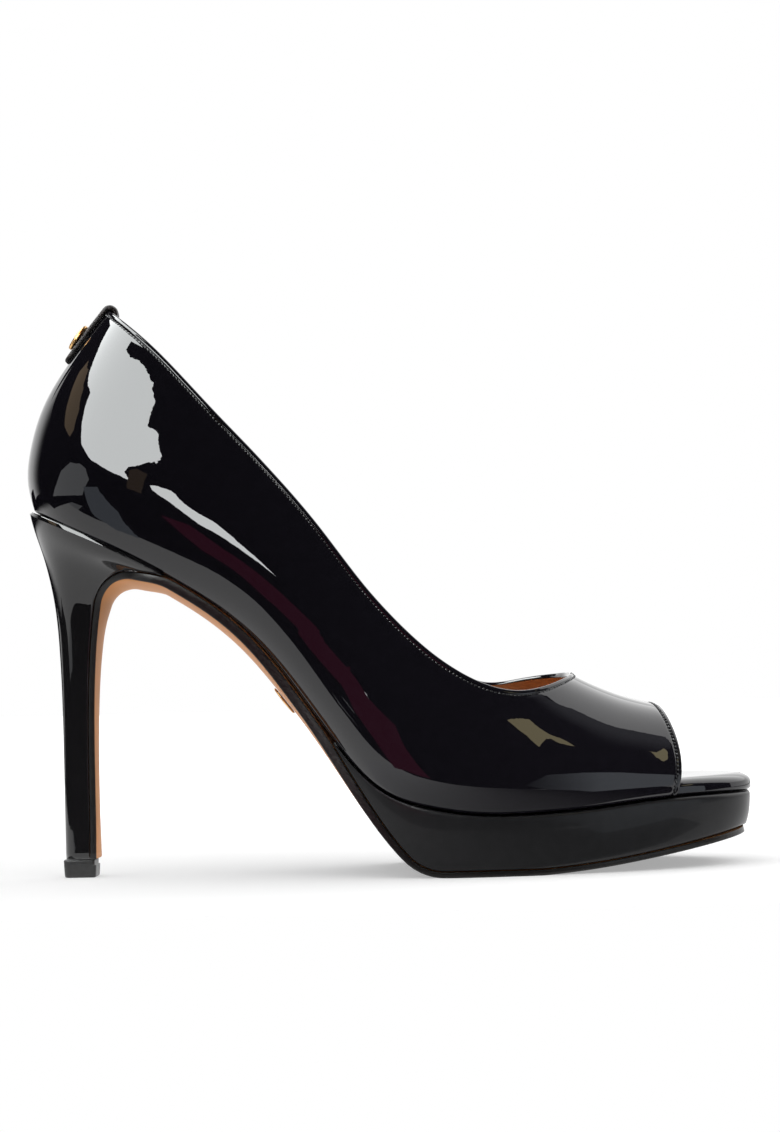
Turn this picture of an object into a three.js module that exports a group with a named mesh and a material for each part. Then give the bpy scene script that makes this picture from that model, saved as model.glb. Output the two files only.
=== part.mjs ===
import * as THREE from "three";

// A right-foot pump: peep toe, covered platform and a tall slim heel, in patent leather.
// Millimetres. +X runs to the toe, +Y to the inner side of the foot, +Z up, and the floor is Z = 0.
// "Along" is a share of FEATHER_LENGTH, measured on the floor from the back of the heel seat.
// The featherline is the edge where the upper meets what is under the foot.

const FEATHER_LENGTH = 207.5;
const BALL_WIDTH = 71;
const HEEL_HEIGHT = 107.5;
const PLATFORM_HEIGHT = 15.3;
const PLATFORM_TOE_HEIGHT = 10;
const PLATFORM_LEDGE = 1.4;
const TOE_SPRING = 9;
const OUTSOLE_THICK = 1.7;
const SHANK_EDGE = 2.7;
const SHANK_CROWN = 2.9;
const INSTEP_HEIGHT = 60;
const COLLAR_HEIGHT = 68.6;
const BACK_RISE = 58.3;
const BACK_LEAN = 24;
const UPPER_WALL = 1.6;
const INSOLE_THICK = 4;
const INSOLE_TOE_THICK = 4.9;
const SEAM_GAP = 0.3;

// What the ball and the toe stand on, from the floor to the featherline.
const BALL_STACK = OUTSOLE_THICK + PLATFORM_HEIGHT + 2 * SEAM_GAP;
const TOE_STACK = TOE_SPRING + OUTSOLE_THICK + PLATFORM_TOE_HEIGHT + 2 * SEAM_GAP;

// The last, one row for each section, heel first.
// rise: share of the heel's rise over the ball. spring: share of the toe's rise over the ball.
// lateral, medial: half widths at the featherline, as shares of half the ball's width.
// flare: how much wider the side is above the featherline, as a share of the half width.
// lean, crest: how far forward of its featherline and how far over it the top of the section lies,
// as shares of INSTEP_HEIGHT. swing: the centre line's offset to the inner side, share of the ball's width.
const LAST = [
  { along: 0.0, rise: 1.0, spring: 0, lateral: 0.6, medial: 0.6, flare: 0.27, lean: 0.665, crest: 1.263, swing: 0.042 },
  { along: 0.103, rise: 0.898, spring: 0, lateral: 0.605, medial: 0.6, flare: 0.27, lean: 0.58, crest: 1.22, swing: 0.02 },
  { along: 0.214, rise: 0.757, spring: 0, lateral: 0.565, medial: 0.545, flare: 0.34, lean: 0.52, crest: 1.07, swing: 0.0 },
  { along: 0.315, rise: 0.568, spring: 0, lateral: 0.5, medial: 0.44, flare: 0.5, lean: 0.5, crest: 0.97, swing: -0.016 },
  { along: 0.399, rise: 0.305, spring: 0, lateral: 0.585, medial: 0.5, flare: 0.42, lean: 0.475, crest: 0.99, swing: -0.025 },
  { along: 0.469, rise: 0.104, spring: 0, lateral: 0.83, medial: 0.72, flare: 0.22, lean: 0.415, crest: 1.03, swing: -0.025 },
  { along: 0.541, rise: 0.027, spring: 0, lateral: 0.98, medial: 0.92, flare: 0.13, lean: 0.325, crest: 0.99, swing: -0.019 },
  { along: 0.608, rise: 0.002, spring: 0, lateral: 1.02, medial: 1.0, flare: 0.11, lean: 0.225, crest: 0.89, swing: -0.011 },
  { along: 0.695, rise: 0.0, spring: 0.03, lateral: 0.985, medial: 1.02, flare: 0.11, lean: 0.108, crest: 0.708, swing: 0.003 },
  { along: 0.752, rise: 0.0, spring: 0.22, lateral: 0.94, medial: 1.0, flare: 0.11, lean: 0.05, crest: 0.607, swing: 0.014 },
  { along: 0.81, rise: 0.0, spring: 0.54, lateral: 0.87, medial: 0.95, flare: 0.1, lean: 0.042, crest: 0.503, swing: 0.027 },
  { along: 0.887, rise: 0.0, spring: 0.87, lateral: 0.78, medial: 0.87, flare: 0.08, lean: 0.033, crest: 0.413, swing: 0.042 },
  { along: 1.0, rise: 0.0, spring: 1.0, lateral: 0.72, medial: 0.8, flare: 0.05, lean: 0.02, crest: 0.3, swing: 0.06 },
];

// The collar's edge, heel first: its height over the featherline right under it, share of COLLAR_HEIGHT.
// Its last point is the crest of the vamp at the throat.
const THROAT_ALONG = 0.752;
const COLLAR = [
  { along: 0.108, lateral: 1.0, medial: 1.0 },
  { along: 0.186, lateral: 0.922, medial: 0.905 },
  { along: 0.268, lateral: 0.812, medial: 0.785 },
  { along: 0.333, lateral: 0.796, medial: 0.757 },
  { along: 0.407, lateral: 0.838, medial: 0.79 },
  { along: 0.485, lateral: 0.79, medial: 0.76 },
  { along: 0.547, lateral: 0.668, medial: 0.645 },
  { along: 0.593, lateral: 0.589, medial: 0.565 },
  { along: 0.63, lateral: 0.541, medial: 0.523 },
  { along: 0.685, lateral: 0.51, medial: 0.533 },
];

// The back of the counter, seat first: height as a share of BACK_RISE, set forward as a share of BACK_LEAN.
const BACK_CURVE = [
  { up: 0.0, set: 0.0 },
  { up: 0.14, set: -0.075 },
  { up: 0.33, set: -0.03 },
  { up: 0.56, set: 0.165 },
  { up: 0.81, set: 0.57 },
  { up: 1.0, set: 0.94 },
  { up: 1.3, set: 1.58 },
];

// A natural cubic spline through rows, as a function: value at x. Rows have rising x.
function spline(xs, ys) {
  const n = xs.length;
  const bend = new Array(n).fill(0);
  const carry = new Array(n).fill(0);
  for (let i = 1; i < n - 1; i++) {
    const share = (xs[i] - xs[i - 1]) / (xs[i + 1] - xs[i - 1]);
    const p = share * bend[i - 1] + 2;
    const jump = (ys[i + 1] - ys[i]) / (xs[i + 1] - xs[i]) - (ys[i] - ys[i - 1]) / (xs[i] - xs[i - 1]);
    bend[i] = (share - 1) / p;
    carry[i] = ((6 * jump) / (xs[i + 1] - xs[i - 1]) - share * carry[i - 1]) / p;
  }
  for (let i = n - 2; i >= 0; i--) bend[i] = bend[i] * bend[i + 1] + carry[i];
  return (x) => {
    let i = 0;
    while (i < n - 2 && x > xs[i + 1]) i++;
    const h = xs[i + 1] - xs[i];
    const a = (xs[i + 1] - x) / h;
    const b = 1 - a;
    if (x < xs[0] || x > xs[n - 1]) {
      const end = x < xs[0] ? 0 : 1;
      const slope = (ys[i + 1] - ys[i]) / h + (h / 6) * (end ? bend[i] + 2 * bend[i + 1] : -2 * bend[i] - bend[i + 1]);
      return end ? ys[i + 1] + slope * (x - xs[i + 1]) : ys[i] + slope * (x - xs[i]);
    }
    return a * ys[i] + b * ys[i + 1] + (((a ** 3 - a) * bend[i] + (b ** 3 - b) * bend[i + 1]) * h * h) / 6;
  };
}

const lerp = (a, b, t) => a + (b - a) * t;
const smooth = THREE.MathUtils.smoothstep;
const span = (count) => Array.from({ length: count + 1 }, (_, i) => i / count);

// The value of t between low and high at which rising(t) passes zero.
function crossing(rising, low, high) {
  for (let i = 0; i < 50; i++) {
    const middle = (low + high) / 2;
    if (rising(middle) < 0) low = middle;
    else high = middle;
  }
  return (low + high) / 2;
}

const lastAlong = LAST.map((row) => row.along * FEATHER_LENGTH);
const lastColumn = (value) => spline(lastAlong, LAST.map(value));
const featherZ = lastColumn(
  (row) => BALL_STACK + row.rise * (HEEL_HEIGHT - BALL_STACK) + row.spring * (TOE_STACK - BALL_STACK),
);
const halfWidth = {
  lateral: lastColumn((row) => (row.lateral * BALL_WIDTH) / 2),
  medial: lastColumn((row) => (row.medial * BALL_WIDTH) / 2),
};
const flareAt = lastColumn((row) => row.flare);
const leanAt = lastColumn((row) => row.lean * INSTEP_HEIGHT);
const crestAt = lastColumn((row) => row.crest * INSTEP_HEIGHT);
const swingAt = lastColumn((row) => row.swing * BALL_WIDTH);

// A point beside the centre line: across runs square to the line, so the heel faces where the line does.
const SLOPE_STEP = 0.5;
function beside(x, across, z) {
  const slope = (swingAt(x + SLOPE_STEP) - swingAt(x - SLOPE_STEP)) / (2 * SLOPE_STEP);
  return new THREE.Vector3(x - slope * across, swingAt(x) + across, z);
}

// The slope of a height along x, and the upright distance that leaves SEAM_GAP square to that slope.
const slopeOf = (height, x) => (height(x + SLOPE_STEP) - height(x - SLOPE_STEP)) / (2 * SLOPE_STEP);
const seamUnder = (height, x) => SEAM_GAP * Math.hypot(1, slopeOf(height, x));

// Half width of an outline at x. grow widens it all round, and tip moves the toe's end.
// The heel closes as a quarter ellipse HEEL_ROUND long. The toe's, TOE_ROUND long, is fuller by TOE_FULLNESS.
const HEEL_ROUND = 20;
const TOE_ROUND = 40;
const TOE_FULLNESS = 2.4;
function outline(side, x, grow = 0, tip = grow) {
  const toe = Math.max(0, (x - (FEATHER_LENGTH - TOE_ROUND)) / (TOE_ROUND + tip));
  const heel = Math.max(0, (HEEL_ROUND - x) / (HEEL_ROUND + grow));
  const toeClose = Math.max(0, 1 - toe ** TOE_FULLNESS) ** (1 / TOE_FULLNESS);
  const close = toeClose * Math.sqrt(Math.max(0, 1 - heel * heel));
  return (halfWidth[side](x) + grow) * close;
}

// Stations shared by the pieces under the foot, so that their facets run side by side. They are closer
// together where the sole rolls up behind the ball, and along each round end.
const STATION_STEP = 6.5;
const ROLL_STEP = 2.1;
const ROLL_FROM = 104;
const ROLL_TO = 121;
const END_STATIONS = 9;
function stations(from, to, heelEnd, toeEnd) {
  const shared = [];
  for (let x = 0; x < FEATHER_LENGTH; x += x >= ROLL_FROM && x < ROLL_TO ? ROLL_STEP : STATION_STEP) shared.push(x);
  const quarter = span(END_STATIONS).map((t) => 1 - Math.cos((t * Math.PI) / 2));
  const heel = heelEnd ? quarter.map((t) => from + t * heelEnd) : [from];
  const toe = toeEnd ? quarter.map((t) => to - t * toeEnd).reverse() : [to];
  const clear = STATION_STEP / 3;
  return [...heel, ...shared.filter((x) => x > from + heelEnd + clear && x < to - toeEnd - clear), ...toe];
}

// A closed mesh from vertices and triangles. Vertices that coincide become one, flat triangles go, and
// all faces turn outward when the volume they enclose comes out negative.
function solid(name, points, triangles, finish) {
  const keys = new Map();
  const kept = [];
  const index = points.map((p) => {
    const key = [p.x, p.y, p.z].map((v) => Math.round(v * 1e4)).join();
    if (!keys.has(key)) {
      keys.set(key, kept.length);
      kept.push(p);
    }
    return keys.get(key);
  });
  const faces = triangles.map((t) => t.map((i) => index[i])).filter(([a, b, c]) => a !== b && b !== c && c !== a);
  const volume = faces.reduce((sum, [a, b, c]) => sum + kept[a].dot(kept[b].clone().cross(kept[c])), 0);
  if (volume < 0) faces.forEach((face) => face.reverse());
  const geometry = new THREE.BufferGeometry().setFromPoints(kept).setIndex(faces.flat());
  geometry.computeVertexNormals();
  const mesh = new THREE.Mesh(geometry, new THREE.MeshStandardMaterial(finish));
  mesh.name = name;
  return mesh;
}

// A solid through closed loops of equal count. In each loop, point i faces point (count - 1 - i),
// so the two end loops close with a strip.
function loft(name, loops, finish) {
  const count = loops[0].length;
  const points = loops.flat();
  const triangles = [];
  const quad = (a, b, c, d) => triangles.push([a, b, c], [a, c, d]);
  loops.slice(1).forEach((_, k) => {
    for (let i = 0; i < count; i++) {
      const next = (i + 1) % count;
      quad(k * count + i, k * count + next, (k + 1) * count + next, (k + 1) * count + i);
    }
  });
  const last = (loops.length - 1) * count;
  for (let i = 0; i < count / 2 - 1; i++) {
    quad(i, count - 1 - i, count - 2 - i, i + 1);
    quad(last + i, last + i + 1, last + count - 2 - i, last + count - 1 - i);
  }
  return solid(name, points, triangles, finish);
}

const PATENT_BLACK = { color: 0x08080a, roughness: 0.08, metalness: 0 };
const SOLE_TAN = { color: 0xb5794f, roughness: 0.45, metalness: 0 };
const TIP_BLACK = { color: 0x1b1b1c, roughness: 0.6, metalness: 0 };
const STRIP_BLACK = { color: 0x121214, roughness: 0.55, metalness: 0 };
const GOLD = { color: 0xd9a24a, roughness: 0.2, metalness: 1 };

// Upper. One shell of patent leather and lining over the last, open at collar, toe and underside.
// A rib is the half section at one place along: v is 0 at the featherline and 1 at the crest.
const SIDE_SQUARENESS = 0.62;
const CREST_SQUARENESS = 0.9;
const FLARE_PEAK = 0.28;
const CREST_SHIFT = 0.04 * BALL_WIDTH;
const BACK_REACH = 0.25 * FEATHER_LENGTH;
const backSet = spline(
  BACK_CURVE.map((row) => row.up * BACK_RISE),
  BACK_CURVE.map((row) => row.set * BACK_LEAN),
);

function rib(side, x, v) {
  const angle = (v * Math.PI) / 2;
  const up = Math.sin(angle) ** CREST_SQUARENESS;
  const swell = (up / FLARE_PEAK) * Math.exp(1 - up / FLARE_PEAK);
  const width = outline(side, x) * Math.cos(angle) ** SIDE_SQUARENESS * (1 + flareAt(x) * swell);
  const backShare = Math.max(0, 1 - x / BACK_REACH) ** 2;
  const straight = up * leanAt(0);
  const curved = backSet(up * crestAt(0));
  const pointX = x + up * leanAt(x) + backShare * (curved - straight);
  const shift = CREST_SHIFT * up * smooth(x, BACK_REACH, BACK_REACH * 2);
  const across = side === "medial" ? shift + width : shift - width;
  return beside(pointX, across, featherZ(x) + up * crestAt(x));
}

const crestPoint = (x) => rib("lateral", x, 1);
const throatX = THROAT_ALONG * FEATHER_LENGTH;
const throatStation = crossing((x) => crestPoint(x).x - throatX, 0.5 * throatX, throatX);
const throatHeight = crestPoint(throatStation).z - featherZ(throatX);
function collarHeight(side) {
  const xs = [...COLLAR.map((row) => row.along * FEATHER_LENGTH), throatX];
  return spline(xs, [...COLLAR.map((row) => row[side] * COLLAR_HEIGHT), throatHeight]);
}
const collarOver = { lateral: collarHeight("lateral"), medial: collarHeight("medial") };

// Where the rib at x meets the collar's edge. In front of the throat it runs up to the crest.
function ribTop(side, x) {
  if (x >= throatStation) return 1;
  const over = (v) => {
    const p = rib(side, x, v);
    return p.z - featherZ(p.x) - collarOver[side](p.x);
  };
  return crossing(over, 0.3, 1);
}

// The toe opening's edge: set back at the crest, and bellied forward low on the side.
const PEEP_ALONG = 0.882;
const PEEP_SETBACK = 4;
const PEEP_BELLY = 1.2;
const PEEP_BELLY_UP = 0.3;
const peepBend = (PEEP_BELLY + PEEP_BELLY_UP * PEEP_SETBACK) / (PEEP_BELLY_UP - PEEP_BELLY_UP ** 2);
const peepX = (up) => PEEP_ALONG * FEATHER_LENGTH + up * (peepBend - PEEP_SETBACK) - peepBend * up * up;

const BACK_COLUMNS = 7;
const QUARTER_COLUMNS = 22;
const VAMP_COLUMNS = 9;
const RIB_ROWS = 13;
const THROAT_CROWD = 1.5;
function upperColumns() {
  const back = span(BACK_COLUMNS).map((t) => HEEL_ROUND * (1 - Math.cos((t * Math.PI) / 2)));
  const quarter = span(QUARTER_COLUMNS).map((t) => lerp(HEEL_ROUND, throatStation, 1 - (1 - t) ** THROAT_CROWD));
  const vamp = span(VAMP_COLUMNS).map((t) => (up) => lerp(throatStation, peepX(up), t));
  return [...back.slice(0, -1), ...quarter.slice(0, -1)].map((x) => () => x).concat(vamp);
}

function makeUpper() {
  const columns = upperColumns();
  const throatColumn = BACK_COLUMNS + QUARTER_COLUMNS;
  const sides = ["lateral", "medial"];
  const points = [];
  const id = {};
  // The back rib and the crest in front of the throat belong to both sides.
  sides.forEach((side) => {
    columns.forEach((station, k) => {
      for (let j = 0; j <= RIB_ROWS; j++) {
        const shared = side === "medial" && (k === 0 || (k >= throatColumn && j === RIB_ROWS));
        if (shared) {
          id[side + k + "/" + j] = id["lateral" + k + "/" + j];
          continue;
        }
        const v = (ribTop(side, station(0)) * j) / RIB_ROWS;
        const up = Math.sin((v * Math.PI) / 2) ** CREST_SQUARENESS;
        id[side + k + "/" + j] = points.length;
        points.push(rib(side, station(up), v));
      }
    });
  });
  const at = (side, k, j) => id[side + k + "/" + j];
  const skin = [];
  const quad = (list, a, b, c, d, turn) => {
    const order = turn ? [d, c, b, a] : [a, b, c, d];
    list.push([order[0], order[1], order[2]], [order[0], order[2], order[3]]);
  };
  sides.forEach((side) => {
    for (let k = 0; k < columns.length - 1; k++)
      for (let j = 0; j < RIB_ROWS; j++)
        quad(skin, at(side, k, j), at(side, k + 1, j), at(side, k + 1, j + 1), at(side, k, j + 1), side === "medial");
  });
  const normals = points.map(() => new THREE.Vector3());
  skin.forEach(([a, b, c]) => {
    const edge = points[b].clone().sub(points[a]);
    const face = edge.cross(points[c].clone().sub(points[a]));
    [a, b, c].forEach((i) => normals[i].add(face));
  });
  const count = points.length;
  const lining = points.map((p, i) => p.clone().addScaledVector(normals[i].normalize(), -UPPER_WALL));
  const triangles = [...skin, ...skin.map(([a, b, c]) => [c + count, b + count, a + count])];
  // Walls along an edge of the skin, from its outer to its inner vertices.
  const wall = (a, b, turn) => quad(triangles, a, a + count, b + count, b, turn);
  sides.forEach((side) => {
    const turn = side === "medial";
    for (let k = 0; k < columns.length - 1; k++) {
      wall(at(side, k, 0), at(side, k + 1, 0), turn);
      if (k < throatColumn) wall(at(side, k, RIB_ROWS), at(side, k + 1, RIB_ROWS), !turn);
    }
    const front = columns.length - 1;
    for (let j = 0; j < RIB_ROWS; j++) wall(at(side, front, j), at(side, front, j + 1), turn);
  });
  return solid("upper", [...points, ...lining], triangles, PATENT_BLACK);
}

// Outsole. One sheet: flat under the ball, up over the roll behind it, along the shank, round the
// breast of the heel and down to the heel tip. The line is its upper face, from toe to heel tip.
const FLAT_FROM = 116.5;
const FLAT_TO = 143;
const SPRING_POWER = 1.4;
const ROLL_RADIUS = 13.2;
const ROLL_ANGLE = THREE.MathUtils.degToRad(47);
const JOIN_X = 0.386 * FEATHER_LENGTH;
const OUTSOLE_INSET = 1.6;
const soleTipX = FEATHER_LENGTH - OUTSOLE_INSET;

// A cubic from (0, from) to (1, to) with those slopes.
function hermite(from, to, slopeFrom, slopeTo, t) {
  const a = 2 * t ** 3 - 3 * t ** 2 + 1;
  const b = t ** 3 - 2 * t ** 2 + t;
  return a * from + b * slopeFrom + (1 - a) * to + (t ** 3 - t ** 2) * slopeTo;
}

function soleTopZ(x) {
  if (x > FLAT_TO) return OUTSOLE_THICK + TOE_SPRING * ((x - FLAT_TO) / (soleTipX - FLAT_TO)) ** SPRING_POWER;
  if (x >= FLAT_FROM) return OUTSOLE_THICK;
  const rollEnd = FLAT_FROM - ROLL_RADIUS * Math.sin(ROLL_ANGLE);
  if (x >= rollEnd) return OUTSOLE_THICK + ROLL_RADIUS - Math.sqrt(ROLL_RADIUS ** 2 - (FLAT_FROM - x) ** 2);
  if (x <= JOIN_X) return featherZ(x) - seamUnder(featherZ, x);
  const reach = rollEnd - JOIN_X;
  const rollTop = OUTSOLE_THICK + ROLL_RADIUS * (1 - Math.cos(ROLL_ANGLE));
  const joinZ = featherZ(JOIN_X) - seamUnder(featherZ, JOIN_X);
  const slopes = [slopeOf(featherZ, JOIN_X) * reach, -Math.tan(ROLL_ANGLE) * reach];
  return hermite(joinZ, rollTop, slopes[0], slopes[1], (x - JOIN_X) / reach);
}

// The breast: an arc under the seat, then the flap that covers the heel's front.
const SHANK_END_X = 43;
const BREAST_RADIUS = 11.3;
const BREAST_X = 29.2;
const BREAST_DROP = 4.9;
const BREAST_FROM = THREE.MathUtils.degToRad(80);
const BREAST_TO = THREE.MathUtils.degToRad(168.5);
const FLAP_RAKE = 3.6;
const FLAP_POWER = 4;
const HEEL_TIP_HEIGHT = 5.2;
const flapEndZ = HEEL_TIP_HEIGHT + 3 * SEAM_GAP;
const breastZ = featherZ(BREAST_X) - BREAST_DROP - BREAST_RADIUS;
const onBreast = (angle) => ({
  x: BREAST_X + BREAST_RADIUS * Math.cos(angle),
  z: breastZ + BREAST_RADIUS * Math.sin(angle),
});

function soleLine() {
  const line = stations(SHANK_END_X, soleTipX, 0, TOE_ROUND).reverse().map((x) => ({ x, z: soleTopZ(x) }));
  const start = line[line.length - 1];
  const end = onBreast(BREAST_FROM);
  const reach = end.x - start.x;
  const slopes = [slopeOf(featherZ, start.x) * reach, (-reach * Math.cos(BREAST_FROM)) / Math.sin(BREAST_FROM)];
  const approach = span(4).slice(1);
  line.push(...approach.map((t) => ({ x: lerp(start.x, end.x, t), z: hermite(start.z, end.z, slopes[0], slopes[1], t) })));
  line.push(...span(8).slice(1).map((t) => onBreast(lerp(BREAST_FROM, BREAST_TO, t))));
  const top = line[line.length - 1];
  line.push(
    ...span(9)
      .slice(1)
      .map((t) => ({ x: top.x - FLAP_RAKE * (1 - (1 - t) ** FLAP_POWER), z: lerp(top.z, flapEndZ, t) })),
  );
  return line;
}
const SOLE_LINE = soleLine();
const SHANK_POINTS = SOLE_LINE.findIndex((p) => p.x <= SHANK_END_X) + 1;

// Length of the breast line from the shank's end to each of its points, and the place at a share of it.
const breastLine = SOLE_LINE.slice(SHANK_POINTS - 1);
const breastLengths = breastLine.map((_, i) =>
  breastLine.slice(1, i + 1).reduce((sum, p, k) => sum + Math.hypot(p.x - breastLine[k].x, p.z - breastLine[k].z), 0),
);
const breastLength = breastLengths[breastLengths.length - 1];
function breastAt(share) {
  const length = share * breastLength;
  let i = 0;
  while (i < breastLine.length - 2 && length > breastLengths[i + 1]) i++;
  const t = (length - breastLengths[i]) / (breastLengths[i + 1] - breastLengths[i]);
  const [a, b] = [breastLine[i], breastLine[i + 1]];
  const step = Math.hypot(b.x - a.x, b.z - a.z);
  // Square to the line, on the heel's side.
  return { x: lerp(a.x, b.x, t), z: lerp(a.z, b.z, t), nx: (b.z - a.z) / step, nz: -(b.x - a.x) / step };
}

// The heel's levels, seat first. front: share of the breast line. back: share of the drop from seat to
// heel tip. width: half width, as a share of SEAT_HALF.
const SEAT_HALF = 21.3;
const HEEL_LEVELS = [
  { front: 0.04, back: 0.0, width: 1.0 },
  { front: 0.07, back: 0.03, width: 0.955 },
  { front: 0.11, back: 0.066, width: 0.87 },
  { front: 0.15, back: 0.105, width: 0.755 },
  { front: 0.195, back: 0.15, width: 0.63 },
  { front: 0.24, back: 0.204, width: 0.52 },
  { front: 0.285, back: 0.257, width: 0.445 },
  { front: 0.36, back: 0.33, width: 0.365 },
  { front: 0.46, back: 0.43, width: 0.29 },
  { front: 0.6, back: 0.56, width: 0.235 },
  { front: 0.8, back: 0.78, width: 0.21 },
  { front: 1.0, back: 1.0, width: 0.225 },
];
// The heel's back edge: drop as in HEEL_LEVELS, set forward as a share of HEEL_RAKE.
const HEEL_RAKE = 6.5;
const HEEL_BACK = [
  { drop: 0.0, set: -0.13 },
  { drop: 0.053, set: 0.04 },
  { drop: 0.12, set: 0.31 },
  { drop: 0.19, set: 0.57 },
  { drop: 0.257, set: 0.76 },
  { drop: 0.312, set: 0.86 },
  { drop: 0.404, set: 0.95 },
  { drop: 0.514, set: 1.0 },
  { drop: 0.78, set: 1.0 },
  { drop: 1.0, set: 1.0 },
];
const heelBottomZ = HEEL_TIP_HEIGHT + SEAM_GAP;
const heelSeatZ = featherZ(0) - seamUnder(featherZ, 0);
const heelBackX = spline(HEEL_BACK.map((row) => row.drop), HEEL_BACK.map((row) => row.set * HEEL_RAKE));
const heelWidth = spline(HEEL_LEVELS.map((row) => row.front), HEEL_LEVELS.map((row) => row.width * SEAT_HALF));
const heelDrop = spline(HEEL_LEVELS.map((row) => row.front), HEEL_LEVELS.map((row) => row.back));

const FLAP_END_FLARE = 0.9;
const CROWN_FROM = 55;
const BREAST_CROWN = 3.2;
const FLAP_CROWN = 0.4;
function makeOutsole() {
  const across = span(6).map((t) => 2 * t - 1);
  const loops = SOLE_LINE.map((p, i) => {
    const before = SOLE_LINE[Math.max(0, i - 1)];
    const after = SOLE_LINE[Math.min(SOLE_LINE.length - 1, i + 1)];
    const step = Math.hypot(after.x - before.x, after.z - before.z);
    const down = { x: -(after.z - before.z) / step, z: (after.x - before.x) / step };
    if (p.x >= FLAT_FROM && p.x <= FLAT_TO) Object.assign(down, { x: 0, z: -1 });
    const onBreastLine = i >= SHANK_POINTS - 1;
    const share = onBreastLine ? (breastLengths[i - SHANK_POINTS + 1] / breastLength) : 0;
    const rolled = 1 - smooth(p.x, JOIN_X, FLAT_FROM);
    const arched = 1 - smooth(p.x, CROWN_FROM, FLAT_FROM);
    const edge = onBreastLine ? lerp(SHANK_EDGE, OUTSOLE_THICK, Math.min(1, share * 5)) : lerp(OUTSOLE_THICK, SHANK_EDGE, rolled);
    const crown = onBreastLine
      ? lerp(lerp(SHANK_CROWN, BREAST_CROWN, smooth(share, 0, 0.1)), FLAP_CROWN, smooth(share, 0.17, 0.42))
      : SHANK_CROWN * arched;
    const inset = OUTSOLE_INSET * (1 - rolled);
    const half = (side) => {
      if (!onBreastLine) return outline(side, p.x, PLATFORM_LEDGE * (1 - rolled) - inset, -OUTSOLE_INSET);
      const flap = heelWidth(Math.max(share, HEEL_LEVELS[0].front)) + FLAP_END_FLARE * Math.max(0, share - 0.9) * 10;
      return lerp(outline(side, p.x), flap, smooth(share, 0, 0.16));
    };
    const row = (t, depth) => {
      const reach = t < 0 ? half("lateral") : half("medial");
      return beside(p.x + down.x * depth, t * reach, p.z + down.z * depth);
    };
    const top = across.map((t) => row(t, 0));
    const bottom = across.map((t) => row(t, edge + crown * (1 - t * t))).reverse();
    return [...top, ...bottom];
  });
  return loft("outsole", loops, SOLE_TAN);
}

// Platform. A covered slab between outsole and featherline, a ledge wider than the upper. It thins to
// the toe, and its back end is a wedge where the outsole rises to the shank.
const PLATFORM_END_THICK = 0.6;
const PLATFORM_TAPER = 1.3;
const PLATFORM_TIP = 0.6;
const PLATFORM_ROUND = 0.7;
const platformTopZ = (x) => featherZ(x) - seamUnder(featherZ, x);
const platformLowZ = (x) => soleTopZ(Math.min(x, soleTipX)) + seamUnder(soleTopZ, Math.min(x, soleTipX - SLOPE_STEP));
const platformBackX = crossing((x) => platformTopZ(x) - platformLowZ(x) - PLATFORM_END_THICK, JOIN_X, FLAT_FROM);
function makePlatform() {
  const toeEnd = TOE_ROUND + PLATFORM_LEDGE;
  const tip = FEATHER_LENGTH + PLATFORM_TIP;
  const levels = [
    { down: 0, inset: PLATFORM_ROUND },
    { down: 0.1, inset: 0 },
    { down: 0.5, inset: 0.2 },
    { down: 1, inset: PLATFORM_TAPER },
  ];
  const loops = stations(platformBackX, tip, 0, toeEnd).map((x) => {
    const wide = smooth(x, platformBackX, FLAT_FROM);
    const toe = smooth(x, tip - toeEnd, tip);
    const side = (name, sign) =>
      levels.map(({ down, inset }) => {
        const half = Math.max(0, outline(name, x, PLATFORM_LEDGE * wide, PLATFORM_TIP) - inset * wide);
        return beside(x - inset * toe, sign * half, lerp(platformTopZ(x), platformLowZ(x), down));
      });
    return [...side("lateral", -1).reverse(), ...side("medial", 1)];
  });
  return loft("platform", loops, PATENT_BLACK);
}

// Insole. The wrapped footbed: inside the upper it fits the wall, and past the toe opening it is the
// round rim that lies on the platform.
const INSOLE_TIP = 1;
const INSOLE_ROUND = 1.3;
function makeInsole() {
  const inset = UPPER_WALL + SEAM_GAP;
  const toeEnd = TOE_ROUND + INSOLE_TIP;
  const loops = stations(inset, FEATHER_LENGTH + INSOLE_TIP, HEEL_ROUND - inset, toeEnd).map((x) => {
    const thick = lerp(INSOLE_THICK, INSOLE_TOE_THICK, smooth(x, FLAT_FROM, PEEP_ALONG * FEATHER_LENGTH));
    const slope = slopeOf(featherZ, x);
    const step = Math.hypot(1, slope);
    const levels = [
      { up: 0, grow: -INSOLE_ROUND },
      { up: 0.22, grow: -0.3 * INSOLE_ROUND },
      { up: 0.5, grow: 0 },
      { up: 0.8, grow: -0.3 * INSOLE_ROUND },
      { up: 1, grow: -INSOLE_ROUND },
    ];
    const side = (name, sign) =>
      levels.map((l) => {
        const rise = l.up * thick;
        const half = Math.max(0, outline(name, x, -inset, INSOLE_TIP) + l.grow);
        return beside(x - (slope / step) * rise, sign * half, featherZ(x) + rise / step);
      });
    return [...side("lateral", -1).reverse(), ...side("medial", 1)];
  });
  return loft("insole", loops, PATENT_BLACK);
}

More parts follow.
